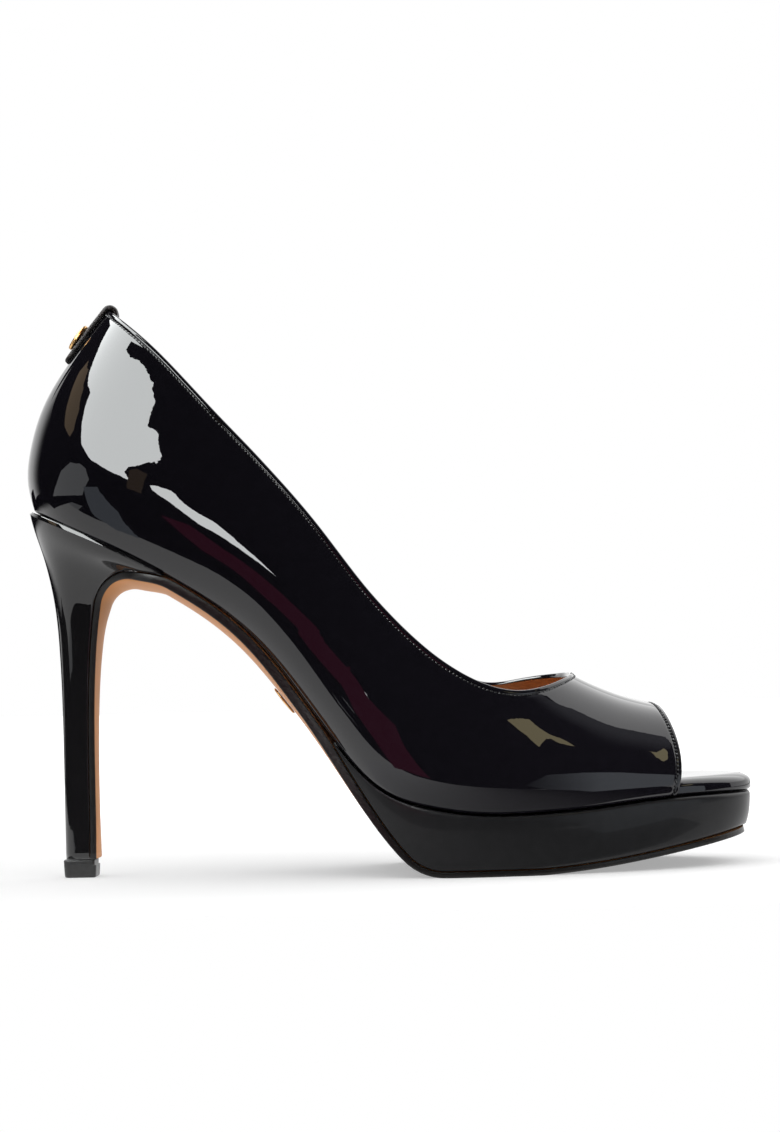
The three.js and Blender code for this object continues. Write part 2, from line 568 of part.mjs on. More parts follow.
// Heel. A covered block, as wide as the seat at its top and slim below, round at the back and flat in front.
const HEEL_STEPS = 26;
const HEEL_SIDE_POINTS = 11;
const HEEL_ROUND_SHARE = 0.62;
const SEAT_LEDGE = 0.8;
function makeHeel() {
  const frontFrom = HEEL_LEVELS[0].front;
  const loops = span(HEEL_STEPS).map((t) => {
    const share = lerp(frontFrom, 1, t ** 1.5);
    const level = t === 0 ? 0 : heelDrop(share);
    const place = breastAt(share);
    const front = { x: place.x + place.nx * SEAM_GAP, z: place.z + place.nz * SEAM_GAP };
    const back = { x: heelBackX(level), z: lerp(heelSeatZ, heelBottomZ, level) };
    if (t === 0) front.z = featherZ(front.x) - seamUnder(featherZ, front.x);
    const seated = 1 - smooth(share, frontFrom, 0.22);
    const half = (side, q) => {
      const round = Math.sqrt(Math.max(0, 1 - Math.max(0, 1 - q / HEEL_ROUND_SHARE) ** 2));
      const seat = outline(side, q * front.x, SEAT_LEDGE) / SEAT_HALF;
      return heelWidth(share) * lerp(round, seat, seated);
    };
    const side = (name, sign) =>
      span(HEEL_SIDE_POINTS).map((s) => {
        const q = 1 - Math.cos((s * Math.PI) / 2);
        const x = lerp(back.x, front.x, q);
        const chordZ = lerp(back.z, front.z, q);
        const seatBow = featherZ(q * front.x) - lerp(featherZ(0), featherZ(front.x), q);
        return beside(x, sign * half(name, q), chordZ + seatBow * seated);
      });
    return [...side("lateral", -1).reverse(), ...side("medial", 1)];
  });
  return loft("heel", loops, PATENT_BLACK);
}

// Heel tip. The rubber top piece that the heel stands on, a little longer than the heel's end.
const HEEL_TIP_LENGTH = 9.8;
const HEEL_TIP_WIDTH = 9;
const HEEL_TIP_CORNER = 1.4;
const HEEL_TIP_DRAFT = 0.25;
function makeHeelTip() {
  const backX = HEEL_RAKE - 0.3;
  const half = HEEL_TIP_WIDTH / 2;
  const levels = [
    { z: 0, grow: -HEEL_TIP_DRAFT },
    { z: HEEL_TIP_HEIGHT, grow: 0 },
  ];
  const loops = levels.map(({ z, grow }) => {
    const side = (sign) => {
      const corner = span(4).map((t) => {
        const angle = (t * Math.PI) / 2;
        const x = backX - grow + HEEL_TIP_CORNER * (1 - Math.sin(angle));
        return beside(x, sign * (half + grow - HEEL_TIP_CORNER * (1 - Math.cos(angle))), z);
      });
      return [...corner.reverse(), beside(backX + HEEL_TIP_LENGTH + grow, sign * (half + grow), z)];
    };
    return [...side(-1).reverse(), ...side(1)];
  });
  return loft("heel_tip", loops, TIP_BLACK);
}

// Back strip. A narrow band folded over the collar at the back of the heel: down the counter's outside,
// over its edge and a little way down the lining.
const STRIP_WIDTH = 9;
const STRIP_THICK = 1.2;
const STRIP_OUTSIDE = 19.5;
const STRIP_INSIDE = 9;
const STRIP_CORNER = 1.6;
const COUNTER_STEP = 0.01;
const COUNTER_SPAN = 0.2;

// The counter's outer face beside the back seam, y to the inner side, v up as in a rib.
function onCounter(y, v) {
  const side = y < 0 ? "lateral" : "medial";
  const reach = (x) => Math.abs(rib(side, x, v).y - rib(side, 0, v).y) - Math.abs(y);
  return rib(side, crossing(reach, 0, HEEL_ROUND), v);
}

// A point over that face: depth below the collar's edge, lift out from the face.
function overCounter(y, depth, lift) {
  const side = y < 0 ? "lateral" : "medial";
  const edge = ribTop(side, crossing((x) => Math.abs(rib(side, x, 0.8).y - rib(side, 0, 0.8).y) - Math.abs(y), 0, HEEL_ROUND));
  const scale = onCounter(y, edge).distanceTo(onCounter(y, edge - COUNTER_SPAN)) / COUNTER_SPAN;
  const v = edge - Math.max(0, depth) / scale;
  const point = onCounter(y, v);
  const rising = onCounter(y, v).sub(onCounter(y, v - COUNTER_STEP)).normalize();
  const across = onCounter(y + 0.5, v).sub(onCounter(y - 0.5, v));
  const out = across.cross(rising).negate().normalize();
  if (out.x > 0) out.negate();
  return point.addScaledVector(out, lift).addScaledVector(rising, Math.max(0, -depth));
}

function makeBackStrip() {
  const turn = UPPER_WALL / 2 + SEAM_GAP;
  const path = [
    ...span(6).map((t) => ({ depth: lerp(STRIP_OUTSIDE, 0, t), angle: 0 })),
    ...span(6).slice(1).map((t) => ({ depth: 0, angle: t * Math.PI })),
    ...span(3).slice(1).map((t) => ({ depth: lerp(0, STRIP_INSIDE, t), angle: Math.PI })),
  ];
  const loops = path.map(({ depth, angle }) => {
    const corner = Math.max(0, 1 - (STRIP_OUTSIDE - depth) / STRIP_CORNER);
    const half = STRIP_WIDTH / 2 - (angle ? 0 : STRIP_CORNER * corner);
    const across = span(6).map((t) => lerp(-half, half, t));
    const row = (radius) =>
      across.map((y) =>
        overCounter(y, depth - radius * Math.sin(angle), radius * Math.cos(angle) - UPPER_WALL / 2),
      );
    return [...row(turn), ...row(turn + STRIP_THICK).reverse()];
  });
  return loft("back_strip", loops, STRIP_BLACK);
}

// A plain oval plate with a raised rim, square to "out", its long axis along "up". foot is the middle of
// its underside.
const PLATE_POINTS = 24;
function plate(name, foot, out, up, length, width, thick, rim) {
  const side = up.clone().cross(out);
  const levels = [
    { height: 0, inset: 0 },
    { height: thick - rim / 2, inset: 0 },
    { height: thick, inset: rim / 2 },
    { height: thick, inset: rim },
    { height: thick - rim / 2, inset: rim * 1.4 },
  ];
  const loops = levels.map(({ height, inset }) =>
    Array.from({ length: PLATE_POINTS }, (_, i) => {
      const angle = ((i + 0.5) * 2 * Math.PI) / PLATE_POINTS;
      return foot
        .clone()
        .addScaledVector(up, (length / 2 - inset) * Math.cos(angle))
        .addScaledVector(side, (width / 2 - inset) * Math.sin(angle))
        .addScaledVector(out, height);
    }),
  );
  return loft(name, loops, GOLD);
}

// Back ornament. A small gilt plate on the strip.
const ORNAMENT_DEPTH = 12;
const ORNAMENT_LENGTH = 8.4;
const ORNAMENT_WIDTH = 6.2;
const ORNAMENT_THICK = 1.5;
const ORNAMENT_RIM = 0.8;
function makeBackOrnament() {
  const lift = 2 * SEAM_GAP + STRIP_THICK;
  const foot = overCounter(0, ORNAMENT_DEPTH, lift);
  const out = overCounter(0, ORNAMENT_DEPTH, lift + 1).sub(foot).normalize();
  const up = overCounter(0, ORNAMENT_DEPTH - 1, lift).sub(foot);
  up.addScaledVector(out, -up.dot(out)).normalize();
  return plate("back_ornament", foot, out, up, ORNAMENT_LENGTH, ORNAMENT_WIDTH, ORNAMENT_THICK, ORNAMENT_RIM);
}

// Sole disc. A gilt plate that lies flat on the shank's underside.
const DISC_X = 76.5;
const DISC_LENGTH = 9.3;
const DISC_WIDTH = 7.2;
const DISC_THICK = 0.8;
const DISC_RIM = 0.5;
function underShank(x) {
  const slope = slopeOf(soleTopZ, x);
  const depth = SHANK_EDGE + SHANK_CROWN * (1 - smooth(x, CROWN_FROM, FLAT_FROM));
  const out = new THREE.Vector3(slope, 0, -1).normalize();
  return beside(x, 0, soleTopZ(x)).addScaledVector(out, depth);
}

function makeSoleDisc() {
  const under = [-DISC_LENGTH / 2, 0, DISC_LENGTH / 2].map((step) => underShank(DISC_X + step));
  const along = under[2].clone().sub(under[0]).setY(0).normalize();
  const out = new THREE.Vector3(along.z, 0, -along.x);
  const lift = Math.max(...under.map((p) => p.clone().sub(under[1]).dot(out)));
  const foot = under[1].clone().addScaledVector(out, lift + SEAM_GAP);
  return plate("sole_disc", foot, out, along, DISC_LENGTH, DISC_WIDTH, DISC_THICK, DISC_RIM);
}

// The frame's origin is under the middle of the shoe's box, on the floor.
const shoe = new THREE.Group();
shoe.add(makeUpper(), makeInsole(), makePlatform(), makeOutsole(), makeHeel(), makeHeelTip());
shoe.add(makeBackStrip(), makeBackOrnament(), makeSoleDisc());
const box = new THREE.Box3().setFromObject(shoe);
const middle = box.getCenter(new THREE.Vector3());
shoe.position.set(-middle.x, -middle.y, -box.min.z);

export default new THREE.Group().add(shoe);
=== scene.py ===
import math

import bmesh
import bpy
import numpy as np
from mathutils import Matrix, Vector
from mathutils.bvhtree import BVHTree
from mathutils.geometry import tessellate_polygon
from mathutils.kdtree import KDTree


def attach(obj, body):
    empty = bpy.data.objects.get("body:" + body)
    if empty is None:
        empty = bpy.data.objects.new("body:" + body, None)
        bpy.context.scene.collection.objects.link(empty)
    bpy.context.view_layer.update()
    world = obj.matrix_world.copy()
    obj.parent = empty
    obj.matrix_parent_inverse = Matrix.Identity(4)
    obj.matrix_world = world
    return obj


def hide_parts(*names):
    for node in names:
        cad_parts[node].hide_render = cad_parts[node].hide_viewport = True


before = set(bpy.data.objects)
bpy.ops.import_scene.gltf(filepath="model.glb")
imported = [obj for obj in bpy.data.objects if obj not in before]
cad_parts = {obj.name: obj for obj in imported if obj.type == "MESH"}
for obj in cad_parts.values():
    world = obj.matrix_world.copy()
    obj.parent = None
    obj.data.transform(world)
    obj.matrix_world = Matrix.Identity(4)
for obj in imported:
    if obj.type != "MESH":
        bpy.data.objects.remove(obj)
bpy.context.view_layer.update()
scene = bpy.context.scene


# Upper
# One shell of black patent leather, drawn over a last with a high arch and a peep toe. The leather is
# folded over at the collar and the toe opening and stitched down there, and it is lined with tan kid.

MM = 0.001
LAST_ORIGIN = np.array([103.3262, 0.4419, 0.0])

FEATHER_LENGTH = 207.5
BALL_WIDTH = 71.0
HEEL_HEIGHT = 107.5
INSTEP_HEIGHT = 60.0
COLLAR_HEIGHT = 68.6
BACK_RISE = 58.3
BACK_LEAN = 24.0
UPPER_WALL = 1.6
SEAM_GAP = 0.3
OUTSOLE_THICK = 1.7
PLATFORM_HEIGHT = 15.3
PLATFORM_TOE_HEIGHT = 10.0
TOE_SPRING = 9.0
BALL_STACK = OUTSOLE_THICK + PLATFORM_HEIGHT + 2 * SEAM_GAP
TOE_STACK = TOE_SPRING + OUTSOLE_THICK + PLATFORM_TOE_HEIGHT + 2 * SEAM_GAP

# along, rise, spring, lateral, medial, flare, lean, crest, swing: as in the solids' table of the last.
LAST = np.array([
    [0.0, 1.0, 0.0, 0.6, 0.6, 0.27, 0.665, 1.263, 0.042],
    [0.103, 0.898, 0.0, 0.605, 0.6, 0.27, 0.58, 1.22, 0.02],
    [0.214, 0.757, 0.0, 0.565, 0.545, 0.34, 0.52, 1.07, 0.0],
    [0.315, 0.568, 0.0, 0.5, 0.44, 0.5, 0.5, 0.97, -0.016],
    [0.399, 0.305, 0.0, 0.585, 0.5, 0.42, 0.475, 0.99, -0.025],
    [0.469, 0.104, 0.0, 0.83, 0.72, 0.22, 0.415, 1.03, -0.025],
    [0.541, 0.027, 0.0, 0.98, 0.92, 0.13, 0.325, 0.99, -0.019],
    [0.608, 0.002, 0.0, 1.02, 1.0, 0.11, 0.225, 0.89, -0.011],
    [0.695, 0.0, 0.03, 0.985, 1.02, 0.11, 0.108, 0.708, 0.003],
    [0.752, 0.0, 0.22, 0.94, 1.0, 0.11, 0.05, 0.607, 0.014],
    [0.81, 0.0, 0.54, 0.87, 0.95, 0.1, 0.042, 0.503, 0.027],
    [0.887, 0.0, 0.87, 0.78, 0.87, 0.08, 0.033, 0.413, 0.042],
    [1.0, 0.0, 1.0, 0.72, 0.8, 0.05, 0.02, 0.3, 0.06],
])
# along, lateral, medial: the collar's height over the featherline.
COLLAR = np.array([
    [0.108, 1.0, 1.0],
    [0.186, 0.922, 0.905],
    [0.268, 0.812, 0.785],
    [0.333, 0.796, 0.757],
    [0.407, 0.838, 0.79],
    [0.485, 0.79, 0.76],
    [0.547, 0.668, 0.645],
    [0.593, 0.589, 0.565],
    [0.63, 0.541, 0.523],
    [0.685, 0.51, 0.533],
])
THROAT_ALONG = 0.752
# up, set: the counter's back edge.
BACK_CURVE = np.array([
    [0.0, 0.0], [0.14, -0.075], [0.33, -0.03], [0.56, 0.165], [0.81, 0.57], [1.0, 0.94], [1.3, 1.58],
])
HEEL_ROUND = 20.0
TOE_ROUND = 40.0
TOE_FULLNESS = 2.4
SIDE_SQUARENESS = 0.62
CREST_SQUARENESS = 0.9
FLARE_PEAK = 0.28
CREST_SHIFT = 0.04 * BALL_WIDTH
BACK_REACH = 0.25 * FEATHER_LENGTH
PEEP_ALONG = 0.882
PEEP_SETBACK = 4.0
PEEP_BELLY = 1.2
PEEP_BELLY_UP = 0.3


def spline(xs, ys):
    """A natural cubic spline through the rows, straight beyond its ends, for numbers and arrays."""
    xs, ys = np.asarray(xs, float), np.asarray(ys, float)
    n, h = len(xs), np.diff(xs)
    rows = np.eye(n)
    side = np.zeros(n)
    for i in range(1, n - 1):
        rows[i, i - 1:i + 2] = h[i - 1] / 6, (h[i - 1] + h[i]) / 3, h[i] / 6
        side[i] = (ys[i + 1] - ys[i]) / h[i] - (ys[i] - ys[i - 1]) / h[i - 1]
    bend = np.linalg.solve(rows, side)
    slope0 = (ys[1] - ys[0]) / h[0] - h[0] * (2 * bend[0] + bend[1]) / 6
    slope1 = (ys[-1] - ys[-2]) / h[-1] + h[-1] * (bend[-2] + 2 * bend[-1]) / 6

    def value(x):
        x = np.asarray(x, float)
        i = np.clip(np.searchsorted(xs, x) - 1, 0, n - 2)
        a = (xs[i + 1] - x) / h[i]
        b = 1 - a
        inside = a * ys[i] + b * ys[i + 1] + ((a**3 - a) * bend[i] + (b**3 - b) * bend[i + 1]) * h[i] ** 2 / 6
        low, high = ys[0] + slope0 * (x - xs[0]), ys[-1] + slope1 * (x - xs[-1])
        return np.where(x < xs[0], low, np.where(x > xs[-1], high, inside))

    return value


def smooth(x, low, high):
    t = np.clip((np.asarray(x, float) - low) / (high - low), 0, 1)
    return t * t * (3 - 2 * t)


def lerp(a, b, t):
    return a + (b - a) * t


def crossing(rising, low, high):
    """Where rising(t) passes zero, for arrays of ends."""
    low, high = np.array(low, float), np.array(high, float)
    for _ in range(34):
        middle = (low + high) / 2
        below = rising(middle) < 0
        low, high = np.where(below, middle, low), np.where(below, high, middle)
    return (low + high) / 2


last_x = LAST[:, 0] * FEATHER_LENGTH
feather_z = spline(last_x, BALL_STACK + LAST[:, 1] * (HEEL_HEIGHT - BALL_STACK)
                   + LAST[:, 2] * (TOE_STACK - BALL_STACK))
half_width = {
    -1: spline(last_x, LAST[:, 3] * BALL_WIDTH / 2),
    1: spline(last_x, LAST[:, 4] * BALL_WIDTH / 2),
}
flare_at = spline(last_x, LAST[:, 5])
lean_at = spline(last_x, LAST[:, 6] * INSTEP_HEIGHT)
crest_at = spline(last_x, LAST[:, 7] * INSTEP_HEIGHT)
swing_at = spline(last_x, LAST[:, 8] * BALL_WIDTH)
back_set = spline(BACK_CURVE[:, 0] * BACK_RISE, BACK_CURVE[:, 1] * BACK_LEAN)
SLOPE_STEP = 0.5


def slope_of(height, x):
    return (height(x + SLOPE_STEP) - height(x - SLOPE_STEP)) / (2 * SLOPE_STEP)


def seam_under(height, x):
    return SEAM_GAP * np.hypot(1, slope_of(height, x))


def beside(x, across, z):
    """Points beside the last's centre line, as an array with x, y, z in its last axis."""
    x, across, z = np.broadcast_arrays(np.asarray(x, float), across, z)
    slope = slope_of(swing_at, x)
    return np.stack([x - slope * across, swing_at(x) + across, z], -1)


def outline(side, x, grow=0.0, tip=None):
    """The half width of what is under the foot, side -1 lateral and 1 medial."""
    tip = grow if tip is None else tip
    toe = np.clip((x - (FEATHER_LENGTH - TOE_ROUND)) / (TOE_ROUND + tip), 0, 1)
    heel = np.clip((HEEL_ROUND - x) / (HEEL_ROUND + grow), 0, 1)
    close = (1 - toe**TOE_FULLNESS) ** (1 / TOE_FULLNESS) * np.sqrt(1 - heel * heel)
    return (half_width[side](x) + grow) * close


def rib(side, x, v):
    """The upper's outer face: side -1 or 1, x along the featherline, v 0 there and 1 at the crest."""
    x, v = np.broadcast_arrays(np.asarray(x, float), v)
    angle = v * math.pi / 2
    up = np.sin(angle) ** CREST_SQUARENESS
    swell = up / FLARE_PEAK * np.exp(1 - up / FLARE_PEAK)
    width = outline(side, x) * np.clip(np.cos(angle), 0, 1) ** SIDE_SQUARENESS * (1 + flare_at(x) * swell)
    back_share = np.clip(1 - x / BACK_REACH, 0, 1) ** 2
    curved = back_set(up * crest_at(0)) - up * lean_at(0)
    point_x = x + up * lean_at(x) + back_share * curved
    shift = CREST_SHIFT * up * smooth(x, BACK_REACH, BACK_REACH * 2)
    return beside(point_x, shift + side * width, feather_z(x) + up * crest_at(x))


throat_x = THROAT_ALONG * FEATHER_LENGTH
throat_station = float(crossing(lambda x: rib(-1, x, 1.0)[..., 0] - throat_x, throat_x / 2, throat_x))
throat_height = float(rib(-1, throat_station, 1.0)[2] - feather_z(throat_x))
collar_x = np.append(COLLAR[:, 0] * FEATHER_LENGTH, throat_x)
collar_over = {
    side: spline(collar_x, np.append(COLLAR[:, column] * COLLAR_HEIGHT, throat_height))
    for side, column in ((-1, 1), (1, 2))
}
peep_bend = (PEEP_BELLY + PEEP_BELLY_UP * PEEP_SETBACK) / (PEEP_BELLY_UP - PEEP_BELLY_UP**2)


def peep_x(up):
    return PEEP_ALONG * FEATHER_LENGTH + up * (peep_bend - PEEP_SETBACK) - peep_bend * up * up


def rib_top(side, x):
    """v where the rib meets the collar, and 1 in front of the throat."""
    x = np.asarray(x, float)

    def over(v):
        p = rib(side, x, v)
        return p[..., 2] - feather_z(p[..., 0]) - collar_over[side](p[..., 0])

    return np.where(x >= throat_station, 1.0, crossing(over, np.full(x.shape, 0.3), np.ones(x.shape)))


def add_object(name, mesh):
    made = bpy.data.objects.new(name, mesh)
    scene.collection.objects.link(made)
    return made


def make_piece(name, points, faces, materials, face_materials=None, smooth_faces=True):
    """A mesh object from points in the last's millimetres, with doubles merged and faces turned outward."""
    mesh = bpy.data.meshes.new(name)
    mesh.from_pydata([tuple(p) for p in (np.asarray(points) - LAST_ORIGIN) * MM], [], faces)
    if face_materials is not None:
        mesh.polygons.foreach_set("material_index", np.asarray(face_materials, np.int32))
    shape = bmesh.new()
    shape.from_mesh(mesh)
    bmesh.ops.remove_doubles(shape, verts=shape.verts, dist=2e-6)
    bmesh.ops.dissolve_degenerate(shape, edges=shape.edges, dist=1e-7)
    bmesh.ops.recalc_face_normals(shape, faces=shape.faces)
    shape.to_mesh(mesh)
    shape.free()
    mesh.polygons.foreach_set("use_smooth", np.full(len(mesh.polygons), smooth_faces))
    for material in materials:
        mesh.materials.append(material)
    return add_object(name, mesh)


def new_material(name):
    """A material with its Principled shader, ready for more nodes."""
    material = bpy.data.materials.new(name)
    material.use_nodes = True
    return material, material.node_tree, material.node_tree.nodes["Principled BSDF"]


def tune(node, values):
    for socket, value in values.items():
        node.inputs[socket].default_value = value


def add_node(tree, kind, values=None, links=None, **settings):
    """A node with its settings, the values of its sockets and the outputs that feed them."""
    node = tree.nodes.new(kind)
    for name, setting in settings.items():
        setattr(node, name, setting)
    tune(node, values or {})
    for socket, output in (links or {}).items():
        tree.links.new(output, node.inputs[socket])
    return node


def add_noise(tree, scale, detail):
    """The value of a noise on Object coordinates."""
    place = add_node(tree, "ShaderNodeTexCoord").outputs["Object"]
    return add_node(tree, "ShaderNodeTexNoise", {"Scale": scale, "Detail": detail}, {"Vector": place}).outputs["Fac"]


def add_bump(tree, shader, layers):
    """Bumps laid over each other: (noise scale, detail, distance in metres, strength). Gives the normal."""
    normal = {}
    for scale, detail, distance, strength in layers:
        bump = add_node(tree, "ShaderNodeBump", {"Distance": distance, "Strength": strength},
                        {"Height": add_noise(tree, scale, detail), **normal})
        normal = {"Normal": bump.outputs["Normal"]}
    tree.links.new(normal["Normal"], shader.inputs["Normal"])
    return normal["Normal"]


def add_mottle(tree, shader, scale, detail, dark, light):
    """A base colour that wanders between two colours."""
    ramp = add_node(tree, "ShaderNodeValToRGB", links={"Fac": add_noise(tree, scale, detail)})
    for element, position, colour in zip(ramp.color_ramp.elements, (0.35, 0.65), (dark, light)):
        element.position = position
        element.color = (*colour, 1)
    tree.links.new(ramp.outputs["Color"], shader.inputs["Base Color"])


def patent_leather(name, waviness, coat=1.0, roughness=0.4, sheen=0.0, base=(0.0075, 0.0068, 0.0095)):
    """Black leather under a thick glossy film. waviness is how far the film swells, in metres."""
    material, tree, shader = new_material(name)
    add_mottle(tree, shader, 300, 3, [c * 0.93 for c in base], [c * 1.06 for c in base])
    tune(shader, {"Roughness": roughness, "Specular IOR Level": sheen, "Coat Weight": coat,
                  "Coat Roughness": 0.012, "Coat IOR": 1.5})
    normal = add_bump(tree, shader, [(38, 1, waviness, 0.5), (260, 2, waviness * 0.08, 0.35)])
    tree.links.new(normal, shader.inputs["Coat Normal"])
    return material


def mottled(name, mottle, values, bumps):
    """A material from the rows for add_mottle and add_bump and its shader's values."""
    material, tree, shader = new_material(name)
    add_mottle(tree, shader, *mottle)
    tune(shader, values)
    add_bump(tree, shader, bumps)
    return material


def tan_kid(name, colour, grain, sheen=0.25):
    """Soft tan leather with a fine grain."""
    return mottled(name, (45, 5, [c * 0.86 for c in colour], colour), {"Roughness": 0.45, "Specular IOR Level": sheen},
                   [(1500, 3, 0.00015, grain), (300, 2, 0.0002, grain * 0.5)])


PATENT_SWELL = 0.0004
patent = patent_leather("patent_leather", PATENT_SWELL)
lining_kid = tan_kid("lining_kid", (0.56, 0.27, 0.12), 0.3)

COLLAR_EDGE_ROWS = [0, 0.2, 0.4, 0.65, 0.85, 1.05, 1.25, 1.45, 1.65, 2.0, 2.6, 3.6]
FEATHER_EDGE_ROWS = [2.8, 2.0, 1.5, 1.1, 0.8, 0.5, 0.25, 0]
SKIN_ROWS = 50
BACK_COLUMNS = 26
QUARTER_COLUMNS = 120
VAMP_COLUMNS = 44
EDGE_BEAD = 0.15
EDGE_BEAD_FROM = 0.65
EDGE_BEAD_TO = 1.1
EDGE_FULLNESS = 0.65
STITCH_LINE = 1.25
STITCH_GROOVE = 0.16
STITCH_GROOVE_WIDE = 0.35
LINING_OVERLAP = 0.1
RIM_STEPS = 6
TUCK_UNDER = 0.6
TUCK_HEIGHT = 1.6


def skin_shares(length):
    """Shares down a rib from its top edge: close together at both edges, and even between."""
    edge = [d / length for d in COLLAR_EDGE_ROWS]
    foot = [1 - d / length for d in FEATHER_EDGE_ROWS]
    rest = np.linspace(edge[-1], foot[0], SKIN_ROWS - len(edge) - len(foot) + 2)[1:-1]
    return np.array(edge + list(rest) + foot)


def skin_columns():
    back = HEEL_ROUND * (1 - np.cos(np.linspace(0, 1, BACK_COLUMNS + 1) * math.pi / 2))
    quarter = lerp(HEEL_ROUND, throat_station, 1 - (1 - np.linspace(0, 1, QUARTER_COLUMNS + 1)) ** 1.25)
    return np.concatenate([back[:-1], quarter])


def side_grid(side):
    """The outer face of one side, columns from the back seam to the toe opening, rows from the edge down."""
    stations = skin_columns()
    tops = rib_top(side, stations)
    grid = []
    for x, top in zip(stations, tops):
        ends = rib(side, x, np.linspace(0, top, 30))
        length = np.linalg.norm(np.diff(ends, axis=0), axis=1).sum()
        grid.append(rib(side, x, top * (1 - skin_shares(length))))
    reach = peep_x(0.5) - throat_station
    even = np.linspace(0, 1, VAMP_COLUMNS + 1)[1:]
    near = [1 - d / reach for d in COLLAR_EDGE_ROWS[::-1]]
    shares = np.array([t for t in even if t < near[0] - 0.02] + near)
    ends = rib(side, throat_station, np.linspace(0, 1, 30))
    length = np.linalg.norm(np.diff(ends, axis=0), axis=1).sum()
    v = 1 - skin_shares(length)
    up = np.sin(v * math.pi / 2) ** CREST_SQUARENESS
    for t in shares:
        grid.append(rib(side, lerp(throat_station, peep_x(up), t), v))
    return np.array(grid)


def distance_to(marks, points):
    """How far each point is from the nearest mark."""
    tree = KDTree(len(marks))
    for i, mark in enumerate(marks):
        tree.insert(mark, i)
    tree.balance()
    return np.array([tree.find(p)[2] for p in points])


def make_upper():
    sides = {side: side_grid(side) for side in (-1, 1)}
    columns, rows = sides[-1].shape[:2]
    throat_column = BACK_COLUMNS + QUARTER_COLUMNS
    number = {-1: np.arange(columns * rows).reshape(columns, rows)}
    number[1] = number[-1] + columns * rows
    number[1][0] = number[-1][0]
    number[1][throat_column:, 0] = number[-1][throat_column:, 0]
    points = np.concatenate([sides[-1].reshape(-1, 3), sides[1].reshape(-1, 3)])

    skin = []
    for side in (-1, 1):
        n = number[side]
        quads = np.stack([n[:-1, :-1], n[1:, :-1], n[1:, 1:], n[:-1, 1:]], -1).reshape(-1, 4)
        skin.append(quads[:, ::-1] if side == 1 else quads)
    skin = np.concatenate(skin)[:, ::-1]
    normals = np.zeros_like(points)
    corners = points[skin]
    face_normals = np.cross(corners[:, 2] - corners[:, 0], corners[:, 3] - corners[:, 1])
    for corner in range(4):
        np.add.at(normals, skin[:, corner], face_normals)
    normals /= np.maximum(np.linalg.norm(normals, axis=1), 1e-9)[:, None]

    # The folded edge swells a little, and sinks along the stitches.
    edge = [points[number[side][:throat_column + 1, 0]] for side in (-1, 1)]
    edge += [points[number[side][-1]] for side in (-1, 1)]
    edge_points = [np.concatenate([lerp(e[:-1], e[1:], t) for t in (0, 0.25, 0.5, 0.75)]) for e in edge]
    away = distance_to(np.concatenate(edge_points), points)
    lift = EDGE_BEAD * (1 - smooth(away, EDGE_BEAD_FROM, EDGE_BEAD_TO))
    lift -= STITCH_GROOVE * np.exp(-(((away - STITCH_LINE) / STITCH_GROOVE_WIDE) ** 2))
    # Its lower edge is drawn in round under the last.
    height = distance_to(np.concatenate([points[number[side][:, -1]] for side in (-1, 1)]), points)
    lift -= TUCK_UNDER * (1 - np.sqrt(1 - np.clip(1 - height / TUCK_HEIGHT, 0, 1) ** 2))
    outer = points + normals * lift[:, None]
    lining = points - normals * (UPPER_WALL - LINING_OVERLAP)

    count = len(points)
    made = [outer, lining]
    faces, kinds = list(map(tuple, skin)), [0] * len(skin)
    faces += [tuple(f[::-1] + count) for f in skin]
    kinds += [1] * len(skin)
    total = 2 * count

    def rim(line, inward, kind, flat=False):
        """A round or flat edge along a line of skin vertices, from the outer face over to the lining."""
        nonlocal total
        line, inward = np.asarray(line), np.asarray(inward)
        out = points[line] - points[inward]
        out /= np.maximum(np.linalg.norm(out, axis=1), 1e-9)[:, None]
        middle = (outer[line] + lining[line]) / 2
        half = (outer[line] - lining[line]) / 2
        radius = np.linalg.norm(half, axis=1)[:, None]
        rows_made = [line]
        for angle in (0.4, math.pi - 0.4) if flat else math.pi * np.arange(1, RIM_STEPS) / RIM_STEPS:
            full = 0 if flat else EDGE_FULLNESS * math.sin(angle)
            made.append(middle + half * math.cos(angle) + out * radius * full)
            rows_made.append(np.arange(total, total + len(line)))
            total += len(line)
        rows_made.append(line + count)
        for a, b in zip(rows_made, rows_made[1:]):
            for i in range(len(line) - 1):
                faces.append((a[i], a[i + 1], b[i + 1], b[i]))
                kinds.append(kind)

    collar = np.concatenate([number[-1][throat_column:0:-1, 0], number[1][:throat_column + 1, 0]])
    below = np.concatenate([number[-1][throat_column:0:-1, 1], number[1][:throat_column + 1, 1]])
    # At the throat the edge runs across the crest, so its inward neighbour lies in front of it.
    below[0] = below[-1] = number[-1][throat_column + 1, 0]
    rim(collar, below, 0)
    rim(np.concatenate([number[-1][-1, ::-1], number[1][-1, 1:]]),
        np.concatenate([number[-1][-2, ::-1], number[1][-2, 1:]]), 0)
    bottom = np.concatenate([number[-1][:0:-1, -1], number[1][:, -1]])
    above = np.concatenate([number[-1][:0:-1, -2], number[1][:, -2]])
    rim(bottom, above, 0, flat=True)
    piece = make_piece("upper_shell", np.concatenate(made), faces, [patent, lining_kid], kinds)
    search = BVHTree.FromPolygons([Vector(p) for p in outer], [list(map(int, f)) for f in skin])
    peep = np.concatenate([number[-1][-1, ::-1], number[1][-1, 1:]])
    return piece, search, outer[collar], outer[peep]


upper_shell, skin_search, collar_line, peep_line = make_upper()
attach(upper_shell, "root")
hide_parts("upper")


# Insole
# The footbed: a board wrapped in patent leather with a rounded edge, which shows at the open toe. Inside
# the shoe a sock of tan kid is glued over it.

